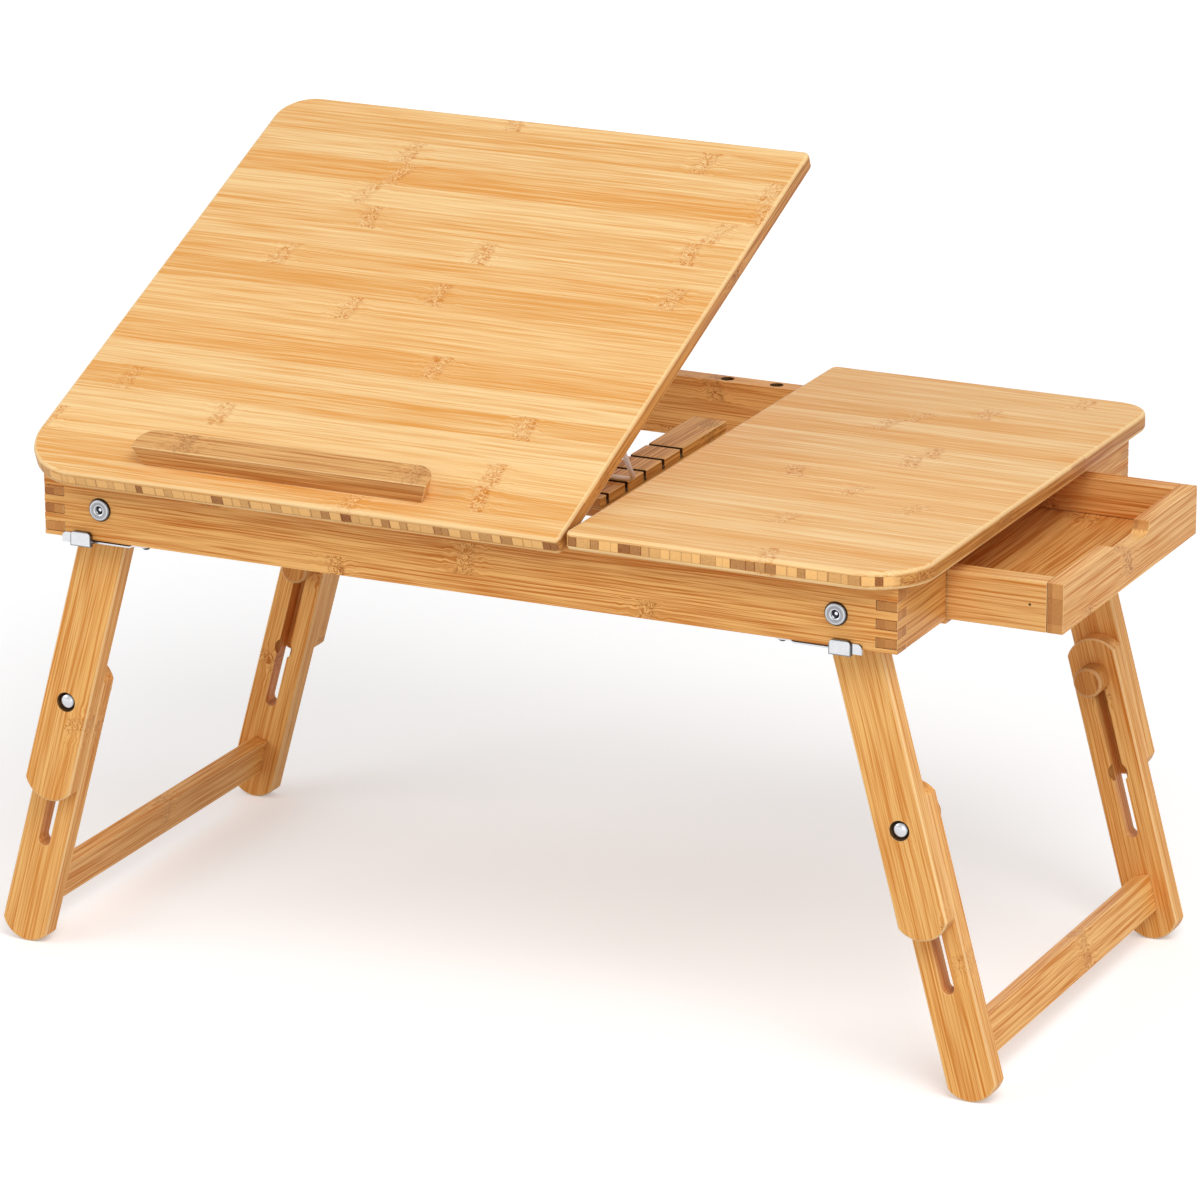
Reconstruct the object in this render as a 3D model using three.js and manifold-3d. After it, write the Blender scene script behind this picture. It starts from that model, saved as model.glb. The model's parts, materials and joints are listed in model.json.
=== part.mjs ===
// Folding bamboo bed table: a shallow apron with a tilting desk board on the left, a fixed board on the
// right over a drawer, and two splayed leg frames whose lower legs slide on the upper ones.
// Millimetres, +X along the long side, +Y to the back, +Z up. The pieces are drawn from the front left
// bottom corner of the apron; the finished table stands on z = 0 with its outline centred on the origin.
import * as THREE from 'three';
import { mergeVertices } from 'three/addons/utils/BufferGeometryUtils.js';
import Module from 'manifold-3d';

// Apron
const APRON_LENGTH = 526;
const APRON_DEPTH = 346;
const RAIL_HEIGHT = 37;
const RAIL_THICKNESS = 12.5;
const STUB_LENGTH = 68; // rail left beside the drawer opening, front and back
const FINGER_COUNT = 3;
const TOP_HOLE_RADIUS = 4; // the two blind holes in the back rail's top
const TOP_HOLE_DEPTH = 12;
const TOP_HOLE_SPACING = 32;
const TOP_HOLE_INSET = 221; // the right one, from the apron's right face
const CLEARANCE = 0.3; // between touching pieces
const CUT_OVERRUN = 1; // how far a cutting solid runs past the piece

// Top boards
const OVERHANG = 12;
const BOARD_THICKNESS = 10.5;
const BOARD_GAP = 2; // between the two boards
const FRONT_CORNER_RADIUS = 36;
const BACK_CORNER_RADIUS = 22;
const SEAM_CORNER_RADIUS = 2; // corners where the two boards meet
const BOARD_EDGE_ROUND = 2;
const TILT_DEGREES = 22.5; // the desk stands on the prop in its fourth notch

// Book stop on the desk
const STOP_LENGTH = 186;
const STOP_DEPTH = 17.5;
const STOP_HEIGHT = 12.5;
const STOP_CORNER_RADIUS = 12; // of the back corners
const STOP_UNDERCUT = 5; // how far each end leans out from its foot to its top
const STOP_SETBACK = 15; // from the desk's front edge
const STOP_OFFSET = 6.5; // from the desk's middle towards its left end

// Butt hinges under the desk's front edge
const HINGE_LENGTH = 42;
const HINGE_INSET = 60; // hinge middle from the desk's ends
const HINGE_LEAF_DEPTH = 10;
const HINGE_LEAF_THICKNESS = 1;
const HINGE_KNUCKLE_RADIUS = 2.2;
const HINGE_PIN_RADIUS = 1.1;
const HINGE_PIN_PLAY = 0.3;
const HINGE_KNUCKLE_SHARE = 1 / 3; // of the hinge length, the middle knuckle

// Prop: a wire bail under the desk, and the notched bars that it stands on
const WIRE_RADIUS = 1.5;
const PROP_PIVOT_REACH = 99; // from the hinge line along the desk
const PROP_PIVOT_DROP = 6; // below the desk
const PROP_REST_DEGREES = 38; // below the horizontal
const PROP_FOOT_GAP = 0.6; // from the bars' tops to the wire's foot, over the mouth of its notch
const PROP_BEND_RADIUS = 5;
const PROP_PIN_LENGTH = 12; // turned in at the clips
const CLIP_WIDTH = 7;
const CLIP_WALL = 1.6;
const BAR_WIDTH = 22;
const BAR_HEIGHT = 6;
const BAR_FRONT_END = 8.3; // from the bars' front end to the first notch
const BAR_BACK_END = 62.3; // from the last notch to the bars' back end
const BAR_DROP = 6; // top of the bars below the top of the rails
const NOTCH_COUNT = 5;
const NOTCHES_BEHIND_FOOT = 3; // notches further back than the one in use
const NOTCH_PITCH = 25;
const NOTCH_WIDTH = 3.4;
const NOTCH_DEPTH = 4;
const LEDGE_THICKNESS = 5.2;
const ARM_SIDE_GAP = 4.5; // from a bar's side to the corner of the wire beside it
const ARM_SPLAY = 13; // of an arm, outwards from that corner to the clip
const RIGHT_BAR_INSET = 58; // right side of the right bar to the drawer bay's left wall

// Drawer bay and drawer
const BAY_LENGTH = 189; // from the apron's right face to the left side of the bay's left wall
const TOP_LAP = 3.5; // of the fixed board past the bay's left wall
const WALL_THICKNESS = 12;
const RUNNER_LIP_WIDTH = 8;
const RUNNER_LIP_THICKNESS = 2.5;
const DRAWER_SIDE_PLAY = 1.6;
const DRAWER_LENGTH = 172;
const DRAWER_HEIGHT = 28.6;
const DRAWER_OPEN = 68; // pulled out past the apron's right face
const DRAWER_FRONT_THICKNESS = 9.5;
const DRAWER_WALL_THICKNESS = 12;
const DRAWER_FLOOR_THICKNESS = 3;
const DRAWER_FLOOR_LIFT = 4;
const DRAWER_GROOVE_DEPTH = 4;
const SCOOP_WIDTH = 54;
const SCOOP_DEPTH = 7;
const SCOOP_RADIUS = 6;

// Leg frames
const PIVOT_INSET = 36; // from the apron's ends
const PIVOT_HEIGHT = 18.5; // above the apron's underside
const SPLAY_DEGREES = 15;
const LEG_WIDTH = 30;
const LEG_THICKNESS = 12.5;
const LEG_SIDE_GAP = 0.4; // rail to upper leg, and upper leg to lower leg
const CLAMP_REACH = 128; // pivot to clamp bolt
const UPPER_LEG_REACH = 192; // pivot to the lower end of an upper leg
const LOWER_LEG_TOP = 105; // pivot to the upper end of a lower leg
const LOWER_LEG_REACH = 290; // pivot to the foot
const LEG_TRAVEL = 95; // how far the lower legs slide up
const SLOT_WIDTH = 7.4;
const RECESS_REACH = 187; // pivot to the round recess across the slot
const RECESS_RADIUS = 6;
const RECESS_DEPTH = 3;
const LEG_END_SHARE = 0.57; // radius of the leg ends, of the leg width
const LEG_EDGE_ROUND = 1;
const STRETCHER_REACH = 250; // pivot to the upper edge of a stretcher
const STRETCHER_HEIGHT = 22;
const STRETCHER_THICKNESS = 9.5;

// Bolts and knobs
const BOLT_RADIUS = 3;
const BOLT_HOLE_PLAY = 0.35;
const PIVOT_HEAD_RADIUS = 6.4;
const PIVOT_HEAD_HEIGHT = 1.4;
const PIVOT_SOCKET_RADIUS = 2.6;
const PIVOT_SOCKET_DEPTH = 2;
const CLAMP_HEAD_RADIUS = 5;
const CLAMP_HEAD_HEIGHT = 2;
const CLAMP_COUNTERBORE_PLAY = 0.8;
const CLAMP_COUNTERBORE_DEPTH = 2.8;
const KNOB_RADIUS = 9;
const KNOB_THICKNESS = 14;
const KNOB_EDGE_ROUND = 1.5;
const KNOB_BORE_DEPTH = 10;

// Spring catches under the front and back rails
const LEFT_CATCH_INSET = 62; // screw, from the apron's left end
const RIGHT_CATCH_INSET = 70; // screw, from its right end
const CATCH_STRIP_WIDTH = 9;
const CATCH_THICKNESS = 1;
const CATCH_TIP_LENGTH = 8;
const CATCH_SEAT_LENGTH = 6; // flat under the rail, beyond the screw
const CATCH_BOW = 1.2; // how far the free part stands off the rail
const CATCH_REACH = 44; // screw to the outboard edge of the finger tab
const CATCH_TAB_WIDTH = 13;
const CATCH_TAB_DEPTH = 3; // in front of the rail
const CATCH_TAB_RISE = 4.8; // of the tab above the apron's underside
const CATCH_TAB_DROP = 3.8;
const CATCH_TAB_ROUND = 3;
const CATCH_WING_LENGTH = 6; // of the small wing beside the tab
const CATCH_WING_DEPTH = 1.6;
const CATCH_WING_RISE = 3.4;
const CATCH_WING_DROP = 2.6;
const CATCH_WING_ROUND = 2.8;
const SCREW_HEAD_RADIUS = 3.2;
const SCREW_HEAD_HEIGHT = 1.6;
const SCREW_RADIUS = 1.6;
const SCREW_HOLE_PLAY = 0.5;
const SCREW_LENGTH = 11;

const ROUND_STEPS = 24; // sides of a full circle
const SMALL_ROUND_STEPS = 16; // on hinges and small screws
const CORNER_STEPS = 8; // steps of a quarter round
const SMALL_CORNER_STEPS = 4;

const wood = (color) => new THREE.MeshStandardMaterial({ color, roughness: 0.55, metalness: 0 });
const boardWood = wood(0xd9b27c);
const railWood = wood(0xc99c62);
const legWood = wood(0xcfa268);
const stopWood = wood(0xb5834a);
const barWood = wood(0x7a5230);
const steel = new THREE.MeshStandardMaterial({ color: 0xc9ccd0, roughness: 0.25, metalness: 1 });

const wasm = await Module();
wasm.setup();

const radians = THREE.MathUtils.degToRad;
const quarter = Math.PI / 2;

// A closed geometry as a solid for joining and cutting
function solid(geometry) {
  const bare = geometry.clone();
  bare.deleteAttribute('normal');
  bare.deleteAttribute('uv');
  const merged = mergeVertices(bare);
  return new wasm.Manifold(new wasm.Mesh({
    numProp: 3,
    vertProperties: new Float32Array(merged.attributes.position.array),
    triVerts: new Uint32Array(merged.index.array),
  }));
}

function fromSolid(body) {
  const mesh = body.getMesh();
  const geometry = new THREE.BufferGeometry();
  geometry.setAttribute('position', new THREE.BufferAttribute(mesh.vertProperties, mesh.numProp));
  geometry.setIndex(new THREE.BufferAttribute(mesh.triVerts, 1));
  geometry.computeVertexNormals();
  return geometry;
}

const cut = (geometry, ...tools) =>
  fromSolid(tools.reduce((body, tool) => body.subtract(solid(tool)), solid(geometry)));
const join = (...pieces) =>
  fromSolid(pieces.slice(1).reduce((body, piece) => body.add(solid(piece)), solid(pieces[0])));

const common = (first, second) => fromSolid(solid(first).intersect(solid(second)));

// A box from its lowest to its highest corner
function box(low, high) {
  const size = high.map((value, axis) => value - low[axis]);
  const middle = high.map((value, axis) => (value + low[axis]) / 2);
  return new THREE.BoxGeometry(...size).translate(...middle);
}

// A round rod between two places along one axis: 'x', 'y' or 'z'
function rod(axis, radius, from, to, across = [0, 0], steps = ROUND_STEPS) {
  const geometry = new THREE.CylinderGeometry(radius, radius, to - from, steps);
  const middle = (from + to) / 2;
  if (axis === 'x') return geometry.rotateZ(quarter).translate(middle, across[0], across[1]);
  if (axis === 'y') return geometry.translate(across[0], middle, across[1]);
  return geometry.rotateX(quarter).translate(across[0], across[1], middle);
}

const outline = (points) => new THREE.Shape(points.map(([a, b]) => new THREE.Vector2(a, b)));

// An outline drawn in X and Z, standing with its thickness along +Y from y = 0
const standAlongX = (shape, thickness, steps = CORNER_STEPS) =>
  new THREE.ExtrudeGeometry(shape, {
    depth: thickness, bevelEnabled: false, curveSegments: steps,
  }).rotateX(quarter).translate(0, thickness, 0);

// An outline drawn in Y and Z, standing with its thickness along +X from x = 0
const standAlongY = (shape, thickness) =>
  new THREE.ExtrudeGeometry(shape, {
    depth: thickness, bevelEnabled: false, curveSegments: CORNER_STEPS,
  }).rotateX(quarter).rotateZ(quarter);

// A revolved piece whose profile is [radius, place along +Y]
const turned = (profile, steps = ROUND_STEPS) =>
  new THREE.LatheGeometry(profile.map(([radius, along]) => new THREE.Vector2(radius, along)), steps);

function addMesh(group, name, geometry, material) {
  const mesh = new THREE.Mesh(geometry, material);
  mesh.name = name;
  group.add(mesh);
  return mesh;
}

// The same piece at the front and, turned about, at the back of the apron
function addFrontAndBack(group, name, geometry, material) {
  addMesh(group, `${name}_front`, geometry, material);
  const back = addMesh(group, `${name}_back`, geometry.clone(), material);
  back.position.y = APRON_DEPTH;
  back.rotation.z = Math.PI;
}

// Heights of the end-rail fingers, lowest first, as [bottom, top]; the lowest starts half a finger up
const fingerHeight = RAIL_HEIGHT / (2 * FINGER_COUNT + 1);
const fingers = Array.from({ length: FINGER_COUNT }, (_, index) => {
  const low = (2 * index + 1 / 2) * fingerHeight;
  return [low, low + fingerHeight];
});

// One end of a long rail, from the bottom up: notches where the end rail's fingers pass
function notchedEnd(x, inward) {
  const deep = x + inward * (RAIL_THICKNESS + CLEARANCE);
  const points = [[x, 0]];
  for (const [low, high] of fingers) {
    points.push([x, low - CLEARANCE], [deep, low - CLEARANCE]);
    points.push([deep, high + CLEARANCE], [x, high + CLEARANCE]);
  }
  points.push([x, RAIL_HEIGHT]);
  return points;
}

// One end of an end rail, from the bottom up: fingers that reach the long rail's outer face
function fingeredEnd(y, inward) {
  const root = y + inward * (RAIL_THICKNESS + CLEARANCE);
  const points = [[root, 0]];
  for (const [low, high] of fingers) points.push([root, low], [y, low], [y, high], [root, high]);
  points.push([root, RAIL_HEIGHT]);
  return points;
}

const pivotHole = (x) => {
  const hole = new THREE.Path();
  hole.absarc(x, PIVOT_HEIGHT, BOLT_RADIUS + BOLT_HOLE_PLAY, 0, 2 * Math.PI, true);
  return hole;
};

// The fixed board covers the drawer bay, and the desk fills the length that is left
const bayLeft = APRON_LENGTH - BAY_LENGTH;
const fixedLeft = bayLeft - TOP_LAP;
const deskRight = fixedLeft - BOARD_GAP;
const deskHingePlaces = [HINGE_INSET - OVERHANG, deskRight - HINGE_INSET];
const hingeLeafRoom = HINGE_LEAF_THICKNESS + CLEARANCE;

// Hinge mortises in the front rail's top, leaf deep
const railMortise = (x) => box(
  [x - HINGE_LENGTH / 2 - CLEARANCE, -CUT_OVERRUN, RAIL_HEIGHT - hingeLeafRoom],
  [x + HINGE_LENGTH / 2 + CLEARANCE, HINGE_LEAF_DEPTH + CLEARANCE, RAIL_HEIGHT + CUT_OVERRUN],
);

const topHoles = [0, TOP_HOLE_SPACING].map((spacing) => rod(
  'z', TOP_HOLE_RADIUS, RAIL_HEIGHT - TOP_HOLE_DEPTH, RAIL_HEIGHT + CUT_OVERRUN,
  [APRON_LENGTH - TOP_HOLE_INSET - spacing, RAIL_THICKNESS / 2], SMALL_ROUND_STEPS,
));

const screwPlaces = [LEFT_CATCH_INSET, APRON_LENGTH - RIGHT_CATCH_INSET];
const screwHole = (x) => rod(
  'z', SCREW_RADIUS + CLEARANCE, -CUT_OVERRUN, SCREW_LENGTH + CLEARANCE, [x, RAIL_THICKNESS / 2],
);

function longRail() {
  const left = notchedEnd(0, 1);
  const right = notchedEnd(APRON_LENGTH, -1);
  const shape = outline([...right, ...left.reverse()]);
  shape.holes.push(pivotHole(PIVOT_INSET), pivotHole(APRON_LENGTH - PIVOT_INSET));
  return cut(standAlongX(shape, RAIL_THICKNESS), ...screwPlaces.map(screwHole));
}

function leftRail() {
  const front = fingeredEnd(0, 1);
  const back = fingeredEnd(APRON_DEPTH, -1);
  return standAlongY(outline([...back, ...front.reverse()]), RAIL_THICKNESS);
}

// The short rail beside the drawer opening: one fingered end, one plain end
function stubRail() {
  const front = fingeredEnd(0, 1);
  const shape = outline([[STUB_LENGTH, 0], [STUB_LENGTH, RAIL_HEIGHT], ...front.reverse()]);
  return standAlongY(shape, RAIL_THICKNESS).translate(APRON_LENGTH - RAIL_THICKNESS, 0, 0);
}

// A board drawn from its front left corner, its underside on z = 0
function board(length, depth, radii) {
  const [frontLeft, frontRight, backRight, backLeft] = radii.map((radius) => radius - BOARD_EDGE_ROUND);
  const low = BOARD_EDGE_ROUND;
  const right = length - BOARD_EDGE_ROUND;
  const back = depth - BOARD_EDGE_ROUND;
  const shape = new THREE.Shape();
  shape.moveTo(low + frontLeft, low);
  shape.lineTo(right - frontRight, low);
  shape.absarc(right - frontRight, low + frontRight, frontRight, -quarter, 0, false);
  shape.lineTo(right, back - backRight);
  shape.absarc(right - backRight, back - backRight, backRight, 0, quarter, false);
  shape.lineTo(low + backLeft, back);
  shape.absarc(low + backLeft, back - backLeft, backLeft, quarter, 2 * quarter, false);
  shape.lineTo(low, low + frontLeft);
  shape.absarc(low + frontLeft, low + frontLeft, frontLeft, 2 * quarter, 3 * quarter, false);
  return new THREE.ExtrudeGeometry(shape, {
    depth: BOARD_THICKNESS - 2 * BOARD_EDGE_ROUND,
    bevelEnabled: true,
    bevelThickness: BOARD_EDGE_ROUND,
    bevelSize: BOARD_EDGE_ROUND,
    bevelSegments: 2,
    curveSegments: CORNER_STEPS,
  }).translate(0, 0, BOARD_EDGE_ROUND);
}

const topDepth = APRON_DEPTH + 2 * OVERHANG;
const boardLevel = RAIL_HEIGHT + CLEARANCE;
const seamRadius = SEAM_CORNER_RADIUS + BOARD_EDGE_ROUND;

// Drawer bay, from the apron's right end inwards
const bayHeight = RAIL_HEIGHT - CLEARANCE;
const guideFace = STUB_LENGTH; // inner face of the front guide, in line with the stub's end
const guideOuter = guideFace - WALL_THICKNESS;
const stubInner = APRON_LENGTH - RAIL_THICKNESS;

// A drawer guide with the lip that carries the drawer's side; the lip's end shows in the opening
function drawerGuide() {
  const start = bayLeft + WALL_THICKNESS + CLEARANCE;
  const end = stubInner - CLEARANCE;
  const lipEdge = guideFace + DRAWER_SIDE_PLAY + RUNNER_LIP_WIDTH;
  const wall = box([start, guideOuter, -RUNNER_LIP_THICKNESS], [end, guideFace, bayHeight]);
  const lip = outline([
    [start, guideOuter], [end, guideOuter], [end, guideFace + CLEARANCE],
    [APRON_LENGTH, guideFace + CLEARANCE], [APRON_LENGTH, lipEdge], [start, lipEdge],
  ]);
  const depth = RUNNER_LIP_THICKNESS - CLEARANCE;
  const plate = new THREE.ExtrudeGeometry(lip, { depth, bevelEnabled: false });
  return join(wall, plate.translate(0, 0, -RUNNER_LIP_THICKNESS));
}

// Notched bars and their ledges
const barTop = RAIL_HEIGHT - BAR_DROP;
const armRoom = ARM_SPLAY + ARM_SIDE_GAP + WIRE_RADIUS + CLEARANCE;
const leftBarX = RAIL_THICKNESS + armRoom;
const rightBarX = bayLeft - RIGHT_BAR_INSET;

// Desk pieces are drawn lying flat, measured from the hinge pin: y and z from its axis
const hingeAxisY = -(HINGE_KNUCKLE_RADIUS + CLEARANCE);
const hingeAxisZ = RAIL_HEIGHT + CLEARANCE / 2;
const deskFrontY = -OVERHANG - hingeAxisY;
const deskLevel = boardLevel - hingeAxisZ;

// The wire's pivot on the tilted desk, and its foot over the notch in use
const tilt = radians(TILT_DEGREES);
const propRest = radians(PROP_REST_DEGREES);
const propPivotZ = deskLevel - PROP_PIVOT_DROP;
const pivotBack = hingeAxisY + PROP_PIVOT_REACH * Math.cos(tilt) - propPivotZ * Math.sin(tilt);
const pivotLevel = hingeAxisZ + PROP_PIVOT_REACH * Math.sin(tilt) + propPivotZ * Math.cos(tilt);
const footLevel = barTop + PROP_FOOT_GAP + WIRE_RADIUS;
const propLength = (pivotLevel - footLevel) / Math.sin(propRest);
const footBack = pivotBack + propLength * Math.cos(propRest);

// The bars reach a little past their first and last notch
const backNotch = footBack + NOTCHES_BEHIND_FOOT * NOTCH_PITCH + NOTCH_WIDTH / 2;
const frontNotch = backNotch - (NOTCH_COUNT - 1) * NOTCH_PITCH - NOTCH_WIDTH;
const barFront = frontNotch - BAR_FRONT_END;
const barBack = backNotch + BAR_BACK_END;

function ledge(from, to) {
  const top = barTop - BAR_HEIGHT - CLEARANCE;
  return box([from, barFront, top - LEDGE_THICKNESS], [to, barBack, top]);
}

function notchedBar() {
  const low = barTop - BAR_HEIGHT;
  const points = [[barFront, low], [barBack, low], [barBack, barTop]];
  for (let index = 0; index < NOTCH_COUNT; index += 1) {
    const wall = backNotch - index * NOTCH_PITCH;
    points.push([wall, barTop], [wall, barTop - NOTCH_DEPTH]);
    points.push([wall - NOTCH_WIDTH, barTop - NOTCH_DEPTH], [wall - NOTCH_WIDTH, barTop]);
  }
  points.push([barFront, barTop]);
  return standAlongY(outline(points), BAR_WIDTH);
}
const leafBack = HINGE_LEAF_DEPTH - hingeAxisY;
const middleKnuckle = HINGE_LENGTH * HINGE_KNUCKLE_SHARE;

function desk() {
  const radii = [FRONT_CORNER_RADIUS, seamRadius, seamRadius, BACK_CORNER_RADIUS];
  const slab = board(deskRight + OVERHANG, topDepth, radii).translate(-OVERHANG, deskFrontY, deskLevel);
  const half = HINGE_LENGTH / 2 + CLEARANCE;
  const mortises = deskHingePlaces.map((x) => box(
    [x - half, 0, deskLevel - CUT_OVERRUN],
    [x + half, leafBack + CLEARANCE, deskLevel + hingeLeafRoom],
  ));
  const groove = HINGE_KNUCKLE_RADIUS + 2 * CLEARANCE;
  const grooves = deskHingePlaces.map((x) => rod('x', groove, x - half, x + half));
  return cut(slab, ...mortises, ...grooves);
}

// The leaf on the rail, with both end knuckles and the pin that passes through all three
function railLeaf() {
  const half = HINGE_LENGTH / 2;
  const inner = middleKnuckle / 2 + CLEARANCE / 2;
  const low = -CLEARANCE / 2 - HINGE_LEAF_THICKNESS;
  const pieces = [box([-half, -hingeAxisY, low], [half, leafBack, -CLEARANCE / 2])];
  for (const side of [-1, 1]) {
    const [from, to] = side < 0 ? [-half, -inner] : [inner, half];
    pieces.push(rod('x', HINGE_KNUCKLE_RADIUS, from, to, [0, 0], SMALL_ROUND_STEPS));
    pieces.push(box([from, 0, low], [to, leafBack, -CLEARANCE / 2]));
  }
  pieces.push(rod('x', HINGE_PIN_RADIUS, -half, half, [0, 0], SMALL_ROUND_STEPS));
  return join(...pieces);
}

// The leaf in the desk, with the middle knuckle
function deskLeaf() {
  const half = HINGE_LENGTH / 2;
  const inner = middleKnuckle / 2 - CLEARANCE / 2;
  const low = CLEARANCE / 2;
  const past = inner + CUT_OVERRUN;
  const leaf = join(
    box([-half, -hingeAxisY, low], [half, leafBack, low + HINGE_LEAF_THICKNESS]),
    box([-inner, 0, low], [inner, leafBack, low + HINGE_LEAF_THICKNESS]),
    rod('x', HINGE_KNUCKLE_RADIUS, -inner, inner, [0, 0], SMALL_ROUND_STEPS),
  );
  const bore = HINGE_PIN_RADIUS + HINGE_PIN_PLAY;
  return cut(leaf, rod('x', bore, -past, past, [0, 0], SMALL_ROUND_STEPS));
}

// The stop's front elevation is crowned and its ends are bevelled in plan
function bookStop() {
  const back = STOP_DEPTH - STOP_CORNER_RADIUS;
  const shape = new THREE.Shape();
  shape.moveTo(0, 0);
  shape.lineTo(STOP_LENGTH, 0);
  shape.absarc(STOP_LENGTH - STOP_CORNER_RADIUS, back, STOP_CORNER_RADIUS, 0, quarter, false);
  shape.absarc(STOP_CORNER_RADIUS, back, STOP_CORNER_RADIUS, quarter, 2 * quarter, false);
  const bar = new THREE.ExtrudeGeometry(shape, {
    depth: STOP_HEIGHT, bevelEnabled: false, curveSegments: CORNER_STEPS,
  });
  const place = bar.attributes.position;
  const half = STOP_LENGTH / 2;
  for (let corner = 0; corner < place.count; corner += 1) {
    const lean = STOP_UNDERCUT * (1 - place.getZ(corner) / STOP_HEIGHT);
    place.setX(corner, half + (place.getX(corner) - half) * (1 - lean / half));
  }
  bar.computeVertexNormals();
  return bar;
}

// Corners of the wire, outboard of the bars, and the clips, further out
const leftFootX = leftBarX - ARM_SIDE_GAP;
const rightFootX = rightBarX + BAR_WIDTH + ARM_SIDE_GAP;
const leftClipX = leftFootX - ARM_SPLAY;
const rightClipX = rightFootX + ARM_SPLAY;

// A route through given places whose steps fall exactly on them
class Route extends THREE.Curve {
  constructor(places) {
    super();
    this.places = places;
  }

  getPointAt(share, target = new THREE.Vector3()) {
    const last = this.places.length - 1;
    return target.copy(this.places[Math.round(share * last)]);
  }

  getTangentAt(share, target = new THREE.Vector3()) {
    const last = this.places.length - 1;
    const index = Math.round(share * last);
    const before = this.places[Math.max(index - 1, 0)];
    const after = this.places[Math.min(index + 1, last)];
    return target.subVectors(after, before).normalize();
  }

  getSpacedPoints() {
    return this.places;
  }
}

// The wire lies along +Y from its pivot: arms, foot, and ends turned in for the clips
function propWire() {
  const corners = [
    [leftClipX + PROP_PIN_LENGTH, 0], [leftClipX, 0], [leftFootX, propLength],
    [rightFootX, propLength], [rightClipX, 0], [rightClipX - PROP_PIN_LENGTH, 0],
  ].map(([x, y]) => new THREE.Vector3(x, y, 0));
  const places = [corners[0]];
  for (let index = 1; index < corners.length - 1; index += 1) {
    const corner = corners[index];
    const before = corners[index - 1].clone().sub(corner).setLength(PROP_BEND_RADIUS).add(corner);
    const after = corners[index + 1].clone().sub(corner).setLength(PROP_BEND_RADIUS).add(corner);
    places.push(...new THREE.QuadraticBezierCurve3(before, corner, after).getPoints(CORNER_STEPS / 2));
  }
  places.push(corners[corners.length - 1]);
  const section = new THREE.Shape().absarc(0, 0, WIRE_RADIUS, 0, 2 * Math.PI, false);
  return new THREE.ExtrudeGeometry(section, {
    steps: places.length - 1,
    extrudePath: new Route(places),
    curveSegments: CORNER_STEPS / 2,
  });
}

// A saddle clip round the wire's turned-in end, hanging from the desk
function propClip() {
  const radius = WIRE_RADIUS + CLEARANCE + CLIP_WALL;
  const foot = 2 * radius;
  const shape = new THREE.Shape();
  shape.moveTo(-foot, PROP_PIVOT_DROP - CLEARANCE);
  shape.lineTo(-foot, PROP_PIVOT_DROP - CLEARANCE - CLIP_WALL);
  shape.lineTo(-radius, PROP_PIVOT_DROP - CLEARANCE - CLIP_WALL);
  shape.lineTo(-radius, 0);
  shape.absarc(0, 0, radius, Math.PI, 2 * Math.PI, false);
  shape.lineTo(radius, PROP_PIVOT_DROP - CLEARANCE - CLIP_WALL);
  shape.lineTo(foot, PROP_PIVOT_DROP - CLEARANCE - CLIP_WALL);
  shape.lineTo(foot, PROP_PIVOT_DROP - CLEARANCE);
  const bore = new THREE.Path();
  bore.absarc(0, 0, WIRE_RADIUS + CLEARANCE, 0, 2 * Math.PI, true);
  shape.holes.push(bore);
  return standAlongY(shape, CLIP_WIDTH);
}

// Leg pieces are drawn hanging straight down from the pivot at x = 0, z = 0, at the front
const upperLegY = RAIL_THICKNESS + LEG_SIDE_GAP;
const lowerLegY = upperLegY + LEG_THICKNESS + LEG_SIDE_GAP;
const legInnerY = lowerLegY + LEG_THICKNESS;
const holeRadius = BOLT_RADIUS + BOLT_HOLE_PLAY;

// A leg blank between two reaches, its ends arched and its long edges eased
function legBlank(from, to) {
  const endRadius = LEG_END_SHARE * LEG_WIDTH;
  const radius = endRadius - LEG_EDGE_ROUND;
  const spread = Math.asin((LEG_WIDTH / 2 - LEG_EDGE_ROUND) / radius);
  const shape = new THREE.Shape();
  shape.absarc(0, -from - endRadius, radius, quarter - spread, quarter + spread, false);
  shape.absarc(0, -to + endRadius, radius, 3 * quarter - spread, 3 * quarter + spread, false);
  return new THREE.ExtrudeGeometry(shape, {
    depth: LEG_THICKNESS - 2 * LEG_EDGE_ROUND,
    bevelEnabled: true,
    bevelThickness: LEG_EDGE_ROUND,
    bevelSize: LEG_EDGE_ROUND,
    bevelSegments: 1,
    curveSegments: CORNER_STEPS,
  }).rotateX(quarter).translate(0, LEG_THICKNESS - LEG_EDGE_ROUND, 0);
}

function upperLeg() {
  const past = LEG_THICKNESS + CUT_OVERRUN;
  const clampPlace = [0, -CLAMP_REACH];
  const counterbore = CLAMP_HEAD_RADIUS + CLAMP_COUNTERBORE_PLAY;
  return cut(
    legBlank(-LEG_WIDTH / 2, UPPER_LEG_REACH),
    rod('y', holeRadius, -CUT_OVERRUN, past),
    rod('y', holeRadius, -CUT_OVERRUN, past, clampPlace),
    rod('y', counterbore, -CUT_OVERRUN, CLAMP_COUNTERBORE_DEPTH, clampPlace),
  ).translate(0, upperLegY, 0);
}

function lowerLeg() {
  const past = LEG_THICKNESS + CUT_OVERRUN;
  const half = SLOT_WIDTH / 2;
  const slot = new THREE.Shape();
  slot.absarc(0, -CLAMP_REACH + CLEARANCE, half, 0, Math.PI, false);
  slot.absarc(0, -CLAMP_REACH - LEG_TRAVEL - CLEARANCE, half, Math.PI, 2 * Math.PI, false);
  return cut(
    legBlank(LOWER_LEG_TOP, LOWER_LEG_REACH),
    standAlongX(slot, LEG_THICKNESS + 2 * CUT_OVERRUN).translate(0, -CUT_OVERRUN, 0),
    rod('y', RECESS_RADIUS, LEG_THICKNESS - RECESS_DEPTH, past, [0, -RECESS_REACH]),
  ).translate(0, lowerLegY, 0);
}

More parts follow.
